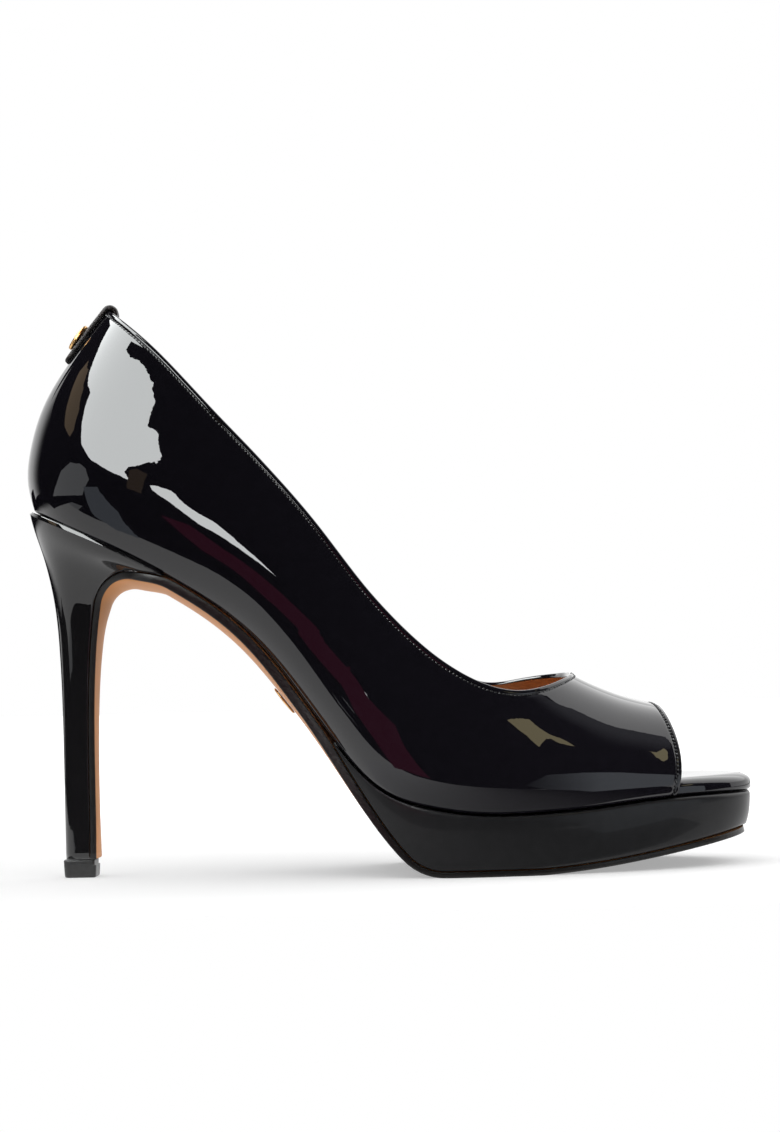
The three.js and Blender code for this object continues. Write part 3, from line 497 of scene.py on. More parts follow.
INSOLE_THICK = 4.0
INSOLE_TOE_THICK = 4.9
INSOLE_TIP = 1.0
INSOLE_ROUND = 1.0
INSOLE_TOP_ROUND = 2.6
INSOLE_BEVEL = 4.4
INSOLE_INSET = UPPER_WALL + SEAM_GAP
FLAT_FROM = 116.5
FLAT_TO = 143.0
SOCK_THICK = 0.5
SOCK_INSET = 2.6
SOCK_TOE = 30.0


def loft(loops, kinds=None):
    """Points, faces and kinds of a closed form through loops. In each loop, point i faces its mirror."""
    loops = np.asarray(loops)
    steps, count = loops.shape[:2]
    n = np.arange(steps * count).reshape(steps, count)
    right = np.roll(n, -1, axis=1)
    quads = np.stack([n[:-1], right[:-1], right[1:], n[1:]], -1).reshape(-1, 4)
    faces = [tuple(q) for q in quads]
    made = list(np.tile(kinds if kinds is not None else np.zeros(count, int), steps - 1))
    for row in (n[0], n[-1]):
        for i in range(count // 2 - 1):
            faces.append((row[i], row[count - 1 - i], row[count - 2 - i], row[i + 1]))
            made.append(made[count // 4])
    return loops.reshape(-1, 3), faces, made


def along_stations(start, end, heel_end, toe_end, step=1.6, ends=26):
    """Stations for pieces under the foot, closer together in each round end."""
    quarter = 1 - np.cos(np.linspace(0, 1, ends + 1) * math.pi / 2)
    heel = start + quarter * heel_end if heel_end else np.array([start])
    toe = (end - quarter * toe_end)[::-1] if toe_end else np.array([end])
    low, high = heel[-1], toe[0]
    middle = np.linspace(low, high, int((high - low) / step) + 2)[1:-1]
    return np.concatenate([heel, middle, toe])


def footbed_thick(x):
    return lerp(INSOLE_THICK, INSOLE_TOE_THICK, smooth(x, FLAT_FROM, PEEP_ALONG * FEATHER_LENGTH))


def make_insole():
    loops = []
    tip = FEATHER_LENGTH + INSOLE_TIP
    for x in along_stations(INSOLE_INSET, tip, HEEL_ROUND - INSOLE_INSET, TOE_ROUND + INSOLE_TIP):
        slope = float(slope_of(feather_z, x))
        step = math.hypot(1, slope)
        half = {side: float(outline(side, x, -INSOLE_INSET, INSOLE_TIP)) for side in (-1, 1)}
        thick = footbed_thick(x)
        toe = float(smooth(x, FEATHER_LENGTH - TOE_ROUND, tip))
        bevel = lerp(INSOLE_ROUND, INSOLE_BEVEL, float(smooth(x, FLAT_TO, PEEP_ALONG * FEATHER_LENGTH)))
        loop = []
        for side in (-1, 1):
            turn = np.linspace(0, math.pi, 25)
            above = turn > math.pi / 2
            height = np.where(above, thick - INSOLE_TOP_ROUND * (1 + np.cos(turn)),
                              INSOLE_ROUND * (1 - np.cos(turn)))
            inset = np.where(above, bevel, INSOLE_ROUND) * (1 - np.sin(turn))
            flat = np.linspace(1, 0, 9)[1:]
            reach = np.maximum(0, half[side] - inset)
            across = np.concatenate([(reach[0] * flat)[::-1], reach, reach[-1] * flat])
            rise = np.concatenate([np.zeros(8), height, np.full(8, thick)])
            back = np.concatenate([np.full(8, inset[0]), inset, np.full(8, inset[-1])]) * toe
            points = beside(x - back - slope / step * rise, side * across, feather_z(x) + rise / step)
            loop.append(points[::-1] if side == -1 else points)
        loops.append(np.concatenate(loop))
    return make_piece("footbed", *loft(loops)[:2], [patent])


footbed = make_insole()
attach(footbed, "root")
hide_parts("insole")


def make_sock():
    inset = INSOLE_INSET + SOCK_INSET
    loops = []
    for x in along_stations(inset, FEATHER_LENGTH - SOCK_TOE, HEEL_ROUND - inset, 6.0):
        slope = float(slope_of(feather_z, x))
        step = math.hypot(1, slope)
        front = max(0.0, (x - (FEATHER_LENGTH - SOCK_TOE - 6)) / 6)
        loop = []
        for side in (-1, 1):
            half = float(outline(side, x, -inset, -SOCK_INSET)) * math.sqrt(max(0.0, 1 - front * front)) ** 0.5
            across = half * np.array([0, 0.4, 0.75, 0.95, 1, 1, 0.985, 0.95, 0.75, 0.4, 0])
            rise = footbed_thick(x) + SOCK_THICK * np.array([0, 0, 0, 0, 0, 0.6, 0.9, 1, 1, 1, 1])
            points = beside(x - slope / step * rise, side * across, feather_z(x) + rise / step)
            loop.append(points[::-1] if side == -1 else points)
        loops.append(np.concatenate(loop))
    return make_piece("sock", *loft(loops)[:2], [tan_kid("sock_kid", (0.56, 0.29, 0.14), 0.25)])


sock = make_sock()
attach(sock, "root")


# Platform
# A light slab under the ball and the toes, covered in the same patent leather. It stands a narrow ledge
# wider than the upper, and the shoe's stitched or glued layers meet along its top edge.

PLATFORM_LEDGE = 1.4
PLATFORM_END_THICK = 0.6
PLATFORM_TAPER = 1.3
PLATFORM_TIP = 0.6
PLATFORM_ROUND = 0.7
SPRING_POWER = 1.4
ROLL_RADIUS = 13.2
ROLL_ANGLE = math.radians(47)
JOIN_X = 0.386 * FEATHER_LENGTH
OUTSOLE_INSET = 1.6
sole_tip_x = FEATHER_LENGTH - OUTSOLE_INSET


def hermite(start, end, slope_start, slope_end, t):
    a = 2 * t**3 - 3 * t**2 + 1
    b = t**3 - 2 * t**2 + t
    return a * start + b * slope_start + (1 - a) * end + (t**3 - t**2) * slope_end


def sole_top_z(x):
    """The outsole's upper face: sprung at the toe, flat at the ball, rolled up behind it to the shank."""
    x = np.asarray(x, float)
    roll_end = FLAT_FROM - ROLL_RADIUS * math.sin(ROLL_ANGLE)
    reach = roll_end - JOIN_X
    roll_top = OUTSOLE_THICK + ROLL_RADIUS * (1 - math.cos(ROLL_ANGLE))
    join_z = float(feather_z(JOIN_X) - seam_under(feather_z, JOIN_X))
    slopes = float(slope_of(feather_z, JOIN_X)) * reach, -math.tan(ROLL_ANGLE) * reach
    toe = OUTSOLE_THICK + TOE_SPRING * np.clip((x - FLAT_TO) / (sole_tip_x - FLAT_TO), 0, 2) ** SPRING_POWER
    roll = OUTSOLE_THICK + ROLL_RADIUS - np.sqrt(ROLL_RADIUS**2 - np.clip(FLAT_FROM - x, 0, ROLL_RADIUS) ** 2)
    rise = hermite(join_z, roll_top, slopes[0], slopes[1], (x - JOIN_X) / reach)
    shank = feather_z(x) - seam_under(feather_z, x)
    back = np.where(x <= JOIN_X, shank, np.where(x < roll_end, rise, roll))
    return np.where(x > FLAT_TO, toe, np.where(x >= FLAT_FROM, OUTSOLE_THICK, back))


def platform_top(x):
    return feather_z(x) - seam_under(feather_z, x)


def platform_low(x):
    return sole_top_z(np.minimum(x, sole_tip_x)) + seam_under(sole_top_z, np.minimum(x, sole_tip_x - SLOPE_STEP))


platform_back_x = float(crossing(lambda x: platform_top(x) - platform_low(x) - PLATFORM_END_THICK, JOIN_X, FLAT_FROM))
platform_patent = patent_leather("platform_patent", PATENT_SWELL, coat=0.12, roughness=0.35, sheen=0.14,
                                 base=(0.014, 0.014, 0.015))


def make_platform():
    toe_end = TOE_ROUND + PLATFORM_LEDGE
    tip = FEATHER_LENGTH + PLATFORM_TIP
    down = np.array([0, 0.006, 0.02, 0.045, 0.075, 0.11, 0.2, 0.32, 0.45, 0.58, 0.7, 0.8, 0.88, 0.93, 0.965, 0.985, 1])
    inset = PLATFORM_ROUND * (1 - np.sqrt(1 - np.clip(1 - down / 0.11, 0, 1) ** 2)) + PLATFORM_TAPER * down**2.6
    inset += 0.5 * (1 - np.sqrt(1 - np.clip((down - 0.93) / 0.07, 0, 1) ** 2))
    loops = []
    for x in along_stations(platform_back_x, tip, 0, toe_end, 1.4, 30):
        wide = float(smooth(x, platform_back_x, FLAT_FROM))
        toe = float(smooth(x, tip - toe_end, tip))
        top, low = float(platform_top(x)), float(platform_low(x))
        loop = []
        for side in (-1, 1):
            half = np.maximum(0, float(outline(side, x, PLATFORM_LEDGE * wide, PLATFORM_TIP)) - inset * wide)
            flat = np.linspace(0, 1, 6)[:-1]
            across = np.concatenate([half[0] * flat, half, (half[-1] * flat)[::-1]])
            share = np.concatenate([np.zeros(5), down, np.ones(5)])
            back = np.concatenate([np.full(5, inset[0]), inset, np.full(5, inset[-1])])
            points = beside(x - back * toe, side * across, lerp(top, low, share))
            loop.append(points[::-1] if side == -1 else points)
        loops.append(np.concatenate(loop))
    return make_piece("platform_cover", *loft(loops)[:2], [platform_patent])


platform_cover = make_platform()
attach(platform_cover, "root")
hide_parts("platform")


# Outsole
# One sheet of tan leather from the toe to the heel tip: it rolls up behind the platform, runs along the
# arched shank, turns round under the seat and covers the heel's front. Its edge is inked black.

SHANK_EDGE = 2.7
SHANK_CROWN = 2.9
SHANK_END_X = 43.0
BREAST_RADIUS = 11.3
BREAST_X = 29.2
BREAST_DROP = 4.9
BREAST_FROM = math.radians(80)
BREAST_TO = math.radians(168.5)
FLAP_RAKE = 3.6
FLAP_POWER = 4
FLAP_END_FLARE = 0.9
CROWN_FROM = 55.0
BREAST_CROWN = 3.2
FLAP_CROWN = 0.4
HEEL_TIP_HEIGHT = 5.2
SEAT_HALF = 21.3
HEEL_RAKE = 6.5
# front: share of the breast line. back: share of the drop from seat to heel tip. width: share of SEAT_HALF.
HEEL_LEVELS = np.array([
    [0.04, 0.0, 1.0], [0.07, 0.03, 0.955], [0.11, 0.066, 0.87], [0.15, 0.105, 0.755],
    [0.195, 0.15, 0.63], [0.24, 0.204, 0.52], [0.285, 0.257, 0.445], [0.36, 0.33, 0.365],
    [0.46, 0.43, 0.29], [0.6, 0.56, 0.235], [0.8, 0.78, 0.21], [1.0, 1.0, 0.225],
])
# drop, set: the heel's back edge.
HEEL_BACK = np.array([
    [0.0, -0.13], [0.053, 0.04], [0.12, 0.31], [0.19, 0.57], [0.257, 0.76],
    [0.312, 0.86], [0.404, 0.95], [0.514, 1.0], [0.78, 1.0], [1.0, 1.0],
])
flap_end_z = HEEL_TIP_HEIGHT + 1.5 * SEAM_GAP
breast_z = float(feather_z(BREAST_X)) - BREAST_DROP - BREAST_RADIUS
heel_width = spline(HEEL_LEVELS[:, 0], HEEL_LEVELS[:, 2] * SEAT_HALF)
heel_drop = spline(HEEL_LEVELS[:, 0], HEEL_LEVELS[:, 1])
heel_back_x = spline(HEEL_BACK[:, 0], HEEL_BACK[:, 1] * HEEL_RAKE)


def on_breast(angle):
    return np.stack([BREAST_X + BREAST_RADIUS * np.cos(angle), breast_z + BREAST_RADIUS * np.sin(angle)], -1)


def sole_line():
    """The outsole's upper face as x, z points from toe to heel tip, and where its shank ends."""
    xs = along_stations(SHANK_END_X, sole_tip_x, 0, TOE_ROUND, 1.5, 26)[::-1]
    shank = np.stack([xs, sole_top_z(xs)], -1)
    start, end = shank[-1], on_breast(BREAST_FROM)
    reach = end[0] - start[0]
    slopes = float(slope_of(feather_z, start[0])) * reach, -reach * math.cos(BREAST_FROM) / math.sin(BREAST_FROM)
    t = np.linspace(0, 1, 11)[1:]
    approach = np.stack([lerp(start[0], end[0], t), hermite(start[1], end[1], slopes[0], slopes[1], t)], -1)
    arc = on_breast(lerp(BREAST_FROM, BREAST_TO, np.linspace(0, 1, 25)[1:]))
    t = np.linspace(0, 1, 41)[1:]
    flap = np.stack([arc[-1][0] - FLAP_RAKE * (1 - (1 - t) ** FLAP_POWER), lerp(arc[-1][1], flap_end_z, t)], -1)
    return np.concatenate([shank, approach, arc, flap]), len(shank) - 1


SOLE_LINE, SHANK_LAST = sole_line()
breast_line = SOLE_LINE[SHANK_LAST:]
breast_lengths = np.concatenate([[0], np.cumsum(np.linalg.norm(np.diff(breast_line, axis=0), axis=1))])
breast_length = breast_lengths[-1]


def breast_at(share):
    """x, z on the breast line and its normal to the heel's side."""
    length = share * breast_length
    i = int(np.clip(np.searchsorted(breast_lengths, length) - 1, 0, len(breast_line) - 2))
    t = (length - breast_lengths[i]) / (breast_lengths[i + 1] - breast_lengths[i])
    step = breast_line[i + 1] - breast_line[i]
    return lerp(breast_line[i], breast_line[i + 1], t), np.array([step[1], -step[0]]) / np.linalg.norm(step)


sole_kid = tan_kid("sole_leather", (0.71, 0.305, 0.105), 0.25, sheen=0.06)
edge_ink = mottled("edge_ink", (500, 3, (0.004, 0.003, 0.003), (0.008, 0.007, 0.006)),
                   {"Roughness": 0.35, "Specular IOR Level": 0.3}, [(900, 3, 0.0002, 0.4)])


def make_outsole():
    loops = []
    for i, (x, z) in enumerate(SOLE_LINE):
        before, after = SOLE_LINE[max(0, i - 1)], SOLE_LINE[min(len(SOLE_LINE) - 1, i + 1)]
        step = np.linalg.norm(after - before)
        down = np.array([-(after[1] - before[1]), after[0] - before[0]]) / step
        if FLAT_FROM <= x <= FLAT_TO:
            down = np.array([0.0, -1.0])
        breast = i >= SHANK_LAST
        share = breast_lengths[i - SHANK_LAST] / breast_length if breast else 0.0
        rolled = 1 - float(smooth(x, JOIN_X, FLAT_FROM))
        arched = 1 - float(smooth(x, CROWN_FROM, FLAT_FROM))
        if breast:
            edge = lerp(SHANK_EDGE, OUTSOLE_THICK, min(1.0, share * 5))
            crown = lerp(lerp(SHANK_CROWN, BREAST_CROWN, smooth(share, 0, 0.1)), FLAP_CROWN, smooth(share, 0.17, 0.42))
        else:
            edge, crown = lerp(OUTSOLE_THICK, SHANK_EDGE, rolled), SHANK_CROWN * arched
        loop = []
        for side in (-1, 1):
            if breast:
                flap = float(heel_width(max(share, HEEL_LEVELS[0, 0]))) + FLAP_END_FLARE * max(0, share - 0.9) * 10
                half = lerp(float(outline(side, x)), flap, float(smooth(share, 0, 0.16)))
            else:
                grow = PLATFORM_LEDGE * (1 - rolled) - OUTSOLE_INSET * (1 - rolled)
                half = float(outline(side, x, grow, -OUTSOLE_INSET))
            corner = min(0.3, half * 0.3)
            top = np.array([0, 0.35, 0.7, 0.92]) * max(half - corner, 0)
            side_edge = half - corner * np.array([1, 0.3, 0, 0, 0, 0.3, 1])
            across = np.concatenate([top, side_edge, top[::-1]])
            shape = crown * (1 - np.clip(across / max(half, 1e-6), 0, 1) ** 2)
            side_depth = [corner * 0.3, corner, edge / 2, edge - corner, edge - corner * 0.3]
            depth = np.concatenate([np.zeros(5), side_depth, np.full(5, edge)])
            depth = depth + np.concatenate([np.zeros(9), shape[9:]])
            points = beside(x + down[0] * depth, side * across, z + down[1] * depth)
            loop.append(points[::-1] if side == -1 else points)
        loops.append(np.concatenate(loop))
    count = len(loops[0]) // 2
    kinds = np.zeros(2 * count, int)
    for i in range(2 * count):
        place = min(i, 2 * count - 2 - i) if i < 2 * count - 1 else 0
        kinds[i] = 1 if 4 <= place <= 9 else 0
    return make_piece("outsole_leather", *loft(loops, kinds)[:2], [sole_kid, edge_ink], loft(loops, kinds)[2])


outsole_leather = make_outsole()
# The sole throws no tan glow on the table, so that the shadow under the shoe stays grey.
outsole_leather.visible_diffuse = False
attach(outsole_leather, "root")
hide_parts("outsole")


# Heel
# A tall slim block covered in one piece of patent leather, round at the back and hollowed to the flat
# front. It is screwed up into the seat, which its top edge follows as a narrow ledge.

HEEL_ROUND_SHARE = 0.62
SEAT_LEDGE = 0.8
SEAT_INSET = 0.035
SEAT_RISE = 0.9
heel_bottom_z = HEEL_TIP_HEIGHT + SEAM_GAP
heel_seat_z = float(feather_z(0) - seam_under(feather_z, 0))


def make_heel():
    first = HEEL_LEVELS[0, 0]
    loops = []
    for t in np.linspace(0, 1, 91):
        share = lerp(first, 1, t**1.5)
        level = 0.0 if t == 0 else float(heel_drop(share))
        place, out = breast_at(share)
        front = place + out * SEAM_GAP
        back = np.array([float(heel_back_x(level)), lerp(heel_seat_z, heel_bottom_z, level)])
        if t == 0:
            front[1] = float(feather_z(front[0]) - seam_under(feather_z, front[0]))
        seated = 1 - float(smooth(share, first, 0.22))
        q = 1 - np.cos(np.linspace(0, 1, 31) * math.pi / 2)
        loop = []
        for side in (-1, 1):
            round_off = np.sqrt(np.clip(1 - np.clip(1 - q / HEEL_ROUND_SHARE, 0, 1) ** 2, 0, 1))
            seat = outline(side, q * front[0], SEAT_LEDGE) / SEAT_HALF
            half = float(heel_width(share)) * lerp(round_off, seat, seated)
            bow = feather_z(q * front[0]) - lerp(feather_z(0), feather_z(front[0]), q)
            across = np.concatenate([half, half[-1] * np.linspace(1, 0, 5)[1:]])
            xs = np.concatenate([lerp(back[0], front[0], q), np.full(4, front[0])])
            zs = np.concatenate([lerp(back[1], front[1], q) + bow * seated, np.full(4, front[1] + bow[-1] * seated)])
            points = beside(xs, side * across, zs)
            loop.append(points[::-1] if side == -1 else points)
        loops.append(np.concatenate(loop))
    inner = lerp(loops[0], loops[0].mean(axis=0), SEAT_INSET)
    inner[:, 2] = feather_z(inner[:, 0]) - seam_under(feather_z, inner[:, 0])
    raised = inner + np.array([0, 0, SEAM_GAP * SEAT_RISE])
    heel_patent = patent_leather("heel_patent", PATENT_SWELL, base=(0.012, 0.0115, 0.0125))
    return make_piece("heel_cover", *loft([raised, inner] + loops)[:2], [heel_patent])


heel_cover = make_heel()
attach(heel_cover, "root")
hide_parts("heel")


# Heel tip
# The top piece: a block of hard black rubber that the heel stands on. It is nailed into the heel's end,
# with its corners rounded at the back and a small step under the flap at the front.

HEEL_TIP_LENGTH = 9.8
HEEL_TIP_WIDTH = 9.0
HEEL_TIP_CORNER = 1.4
HEEL_TIP_DRAFT = 0.25
HEEL_TIP_STEP = 0.45
HEEL_TIP_STEP_HEIGHT = 1.5

tip_rubber = mottled("tip_rubber", (600, 4, (0.008, 0.008, 0.008), (0.015, 0.015, 0.015)), {"Roughness": 0.42},
                     [(1800, 3, 0.0001, 0.5), (250, 2, 0.0002, 0.3)])


def make_heel_tip():
    loops = []
    # height share, how far the wall is drawn in, and how far the front is stepped back
    levels = [(0, 0.55, 0), (0.012, 0.3, 0), (0.04, 0.1, 0), (0.08, 0.03, 0), (0.2, 0, 0), (0.5, 0, 0),
              (0.68, 0, 0), (0.7, 0, 0.06), (0.71, 0.02, 1), (0.9, 0.02, 1), (0.97, 0.06, 1), (1, 0.25, 1)]
    for height, inset, step in levels:
        grow = -HEEL_TIP_DRAFT * (1 - height) - inset
        back, front = HEEL_RAKE - 0.3 - grow, HEEL_RAKE - 0.3 + HEEL_TIP_LENGTH + grow - step * HEEL_TIP_STEP
        half = HEEL_TIP_WIDTH / 2 + grow
        angle = np.linspace(0, 1, 8) * math.pi / 2
        xs = [np.full(4, back), back + HEEL_TIP_CORNER * (1 - np.cos(angle)), [lerp(back, front, 0.6)],
              front - 0.5 * (1 - np.sin(angle[::2])), np.full(4, front)]
        ys = [(half - HEEL_TIP_CORNER) * np.linspace(0, 1, 5)[:-1], half - HEEL_TIP_CORNER * (1 - np.sin(angle)), [half],
              half - 0.5 * (1 - np.cos(angle[::2])), (half - 0.5) * np.linspace(1, 0, 5)[1:]]
        xs, ys = np.concatenate(xs), np.concatenate(ys)
        # beside() turns the block as the heel is turned
        points = [beside(xs, side * ys, height * HEEL_TIP_HEIGHT) for side in (-1, 1)]
        loops.append(np.concatenate([points[0][::-1], points[1]]))
    return make_piece("heel_top_piece", *loft(loops)[:2], [tip_rubber])


heel_top_piece = make_heel_tip()
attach(heel_top_piece, "root")
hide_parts("heel_tip")


# Back strip
# A narrow band of grained black leather with turned edges. It is folded over the collar at the back seam
# and stitched down both its sides through the counter.

STRIP_WIDTH = 9.0
STRIP_THICK = 1.2
STRIP_OUTSIDE = 19.5
STRIP_INSIDE = 9.0
STRIP_CORNER = 1.6
COUNTER_STEP = 0.01
COUNTER_SPAN = 0.2

strip_leather = mottled("strip_leather", (700, 4, (0.004, 0.003, 0.003), (0.012, 0.008, 0.007)),
                        {"Roughness": 0.5, "Specular IOR Level": 0.2}, [(1100, 3, 0.0003, 0.9), (250, 2, 0.0003, 0.4)])


def counter_x(y, v):
    """x along the featherline of the counter's point at y beside the back seam."""
    found = []
    for side in (-1, 1):
        middle = rib(side, 0.0, v)[..., 1]
        reach = crossing(lambda x: np.abs(rib(side, x, v)[..., 1] - middle) - np.abs(y), 0 * y, 0 * y + HEEL_ROUND)
        found.append(reach)
    return np.where(y < 0, found[0], found[1])


def on_counter(y, v):
    x = counter_x(y, v)
    return np.where((y < 0)[..., None], rib(-1, x, v), rib(1, x, v))


def unit(vectors):
    return vectors / np.maximum(np.linalg.norm(vectors, axis=-1), 1e-9)[..., None]


def over_counter(y, depth, lift):
    """Points over the counter: depth below the collar's edge, lift out from the outer face."""
    y, depth, lift = [np.array(a, float) for a in np.broadcast_arrays(y, depth, lift)]
    x = counter_x(y, np.full(y.shape, 0.8))
    edge = np.where(y < 0, rib_top(-1, x), rib_top(1, x))
    scale = np.linalg.norm(on_counter(y, edge) - on_counter(y, edge - COUNTER_SPAN), axis=-1) / COUNTER_SPAN
    v = edge - np.maximum(0, depth) / scale
    rising = unit(on_counter(y, v) - on_counter(y, v - COUNTER_STEP))
    out = unit(-np.cross(on_counter(y + 0.5, v) - on_counter(y - 0.5, v), rising))
    out = np.where((out[..., 0] > 0)[..., None], -out, out)
    return on_counter(y, v) + out * lift[..., None] + rising * np.maximum(0, -depth)[..., None]


def make_back_strip():
    turn = UPPER_WALL / 2 + SEAM_GAP
    depth = np.concatenate([STRIP_OUTSIDE - np.array([0, 0.12, 0.35, 0.7, 1.2]), np.linspace(STRIP_OUTSIDE - 2, 0, 22),
                            np.zeros(16), np.linspace(0, STRIP_INSIDE, 10)[1:]])
    angle = np.concatenate([np.zeros(27), np.linspace(0, math.pi, 17)[1:], np.full(9, math.pi)])
    cap = np.concatenate([np.sqrt(1 - (1 - np.array([0, 0.12, 0.35, 0.7, 1]) / 1.0) ** 2), np.ones(len(depth) - 5)])
    around = np.linspace(0, math.pi / 2, 6)
    across, lifts = [], []
    for d, a, c in zip(depth, angle, cap):
        corner = max(0.0, 1 - (STRIP_OUTSIDE - d) / STRIP_CORNER) if a == 0 else 0.0
        half = STRIP_WIDTH / 2 - STRIP_CORNER * corner**1.5
        thick = STRIP_THICK * lerp(0.45, 1, c)
        # Flat underneath, then a rounded turned edge, a groove along the stitches and a low crown.
        outer = np.concatenate([half - 0.5 + 0.5 * np.cos(around), [half - 0.8, half - 1.15, half - 1.5, half * 0.5, 0]])
        rise = np.concatenate([thick - 0.5 + 0.5 * np.sin(around), [thick, thick - 0.12, thick, thick + 0.1, thick + 0.15]])
        across.append(np.concatenate([[0, half * 0.5, half * 0.9, half], outer]))
        lifts.append(turn + np.concatenate([[0, 0, 0, 0.05], rise]))
    across, lifts = np.array(across), np.array(lifts)
    depth, angle = depth[:, None], angle[:, None]
    below, lift = depth - lifts * np.sin(angle), lifts * np.cos(angle) - UPPER_WALL / 2
    rows = over_counter(np.stack([-across[:, ::-1], across]), np.stack([below[:, ::-1], below]),
                        np.stack([lift[:, ::-1], lift]))
    loops = np.concatenate([rows[0], rows[1]], axis=1)
    return make_piece("back_tab", *loft(loops)[:2], [strip_leather])


back_tab = make_back_strip()
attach(back_tab, "root")
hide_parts("back_strip")


# Back ornament and sole disc
# Two small castings of gilt brass, left plain: an oval boss with a beaded rim, riveted to the back strip,
# and a flatter plate of the same kind, pinned under the shank.

ORNAMENT_DEPTH = 12.0
ORNAMENT_LENGTH = 8.4
ORNAMENT_WIDTH = 6.2
ORNAMENT_THICK = 1.5
DISC_X = 76.5
DISC_LENGTH = 9.3
DISC_WIDTH = 7.2
DISC_THICK = 0.8

gilt_brass = mottled("gilt_brass", (420, 4, (0.30, 0.14, 0.05), (0.74, 0.46, 0.19)),
                     {"Metallic": 1.0, "Roughness": 0.3}, [(700, 2, 0.00008, 0.4)])


def make_boss(name, foot, out, up, length, width, thick, profile):
    """An oval boss. profile rows: share of the radius, share of the thickness."""
    side = np.cross(up, out)
    angle = (np.arange(48) + 0.5) * math.pi / 24
    loops = []
    for radius, height in profile:
        loops.append(foot + up * (length / 2 * radius * np.cos(angle))[:, None]
                     + side * (width / 2 * radius * np.sin(angle))[:, None] + out * (height * thick))
    return make_piece(name, *loft(loops)[:2], [gilt_brass])


BOSS_PROFILE = [(0.9, 0), (0.97, 0.06), (1, 0.2), (1, 0.45), (0.985, 0.6), (0.94, 0.72), (0.89, 0.76), (0.84, 0.7),
                (0.8, 0.55), (0.76, 0.47), (0.72, 0.47), (0.69, 0.52), (0.66, 0.66), (0.6, 0.8), (0.5, 0.9), (0.35, 0.97),
                (0.18, 0.995), (0.02, 1)]
lift = 2 * SEAM_GAP + STRIP_THICK
foot = over_counter(np.zeros(1), ORNAMENT_DEPTH, lift)[0]
out = unit(over_counter(np.zeros(1), ORNAMENT_DEPTH, lift + 1)[0] - foot)
up = over_counter(np.zeros(1), ORNAMENT_DEPTH - 1, lift)[0] - foot
up = unit(up - out * (up @ out))
back_boss = make_boss("back_boss", foot, out, up, ORNAMENT_LENGTH, ORNAMENT_WIDTH, ORNAMENT_THICK, BOSS_PROFILE)
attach(back_boss, "root")
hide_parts("back_ornament")


def under_shank(x):
    slope = float(slope_of(sole_top_z, x))
    depth = SHANK_EDGE + SHANK_CROWN * (1 - float(smooth(x, CROWN_FROM, FLAT_FROM)))
    return beside(x, 0, float(sole_top_z(x))) + unit(np.array([slope, 0, -1.0])) * depth


under = [under_shank(DISC_X + step) for step in (-DISC_LENGTH / 2, 0, DISC_LENGTH / 2)]
along = under[2] - under[0]
along[1] = 0
along = unit(along)
out = np.array([along[2], 0, -along[0]])
foot = under[1] + out * (max((p - under[1]) @ out for p in under) + SEAM_GAP)
sole_plate = make_boss("sole_plate", foot, out, along, DISC_LENGTH, DISC_WIDTH, DISC_THICK, BOSS_PROFILE)
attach(sole_plate, "root")
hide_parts("sole_disc")


# Stitches
# Lock stitches in thick black thread. One row holds the fold along the collar, one runs along the toe
# opening, and one goes down each side of the back strip. Each stitch lies a little aslant in its groove.

STITCH_PITCH = 1.2
STITCH_LENGTH = 0.9
STITCH_THICK = 0.6
STITCH_SLANT = math.radians(14)

thread, thread_tree, thread_shader = new_material("black_thread")
add_mottle(thread_tree, thread_shader, 900, 2, (0.005, 0.005, 0.006), (0.012, 0.012, 0.013))
thread_shader.inputs["Roughness"].default_value = 0.26
thread_place = add_node(thread_tree, "ShaderNodeTexCoord").outputs["Object"]
thread_twist = add_node(thread_tree, "ShaderNodeTexWave", {"Scale": 900, "Distortion": 2}, {"Vector": thread_place})
thread_bump = add_node(thread_tree, "ShaderNodeBump", {"Distance": 0.00005, "Strength": 0.6},
                       {"Height": thread_twist.outputs["Fac"]})
thread_tree.links.new(thread_bump.outputs["Normal"], thread_shader.inputs["Normal"])


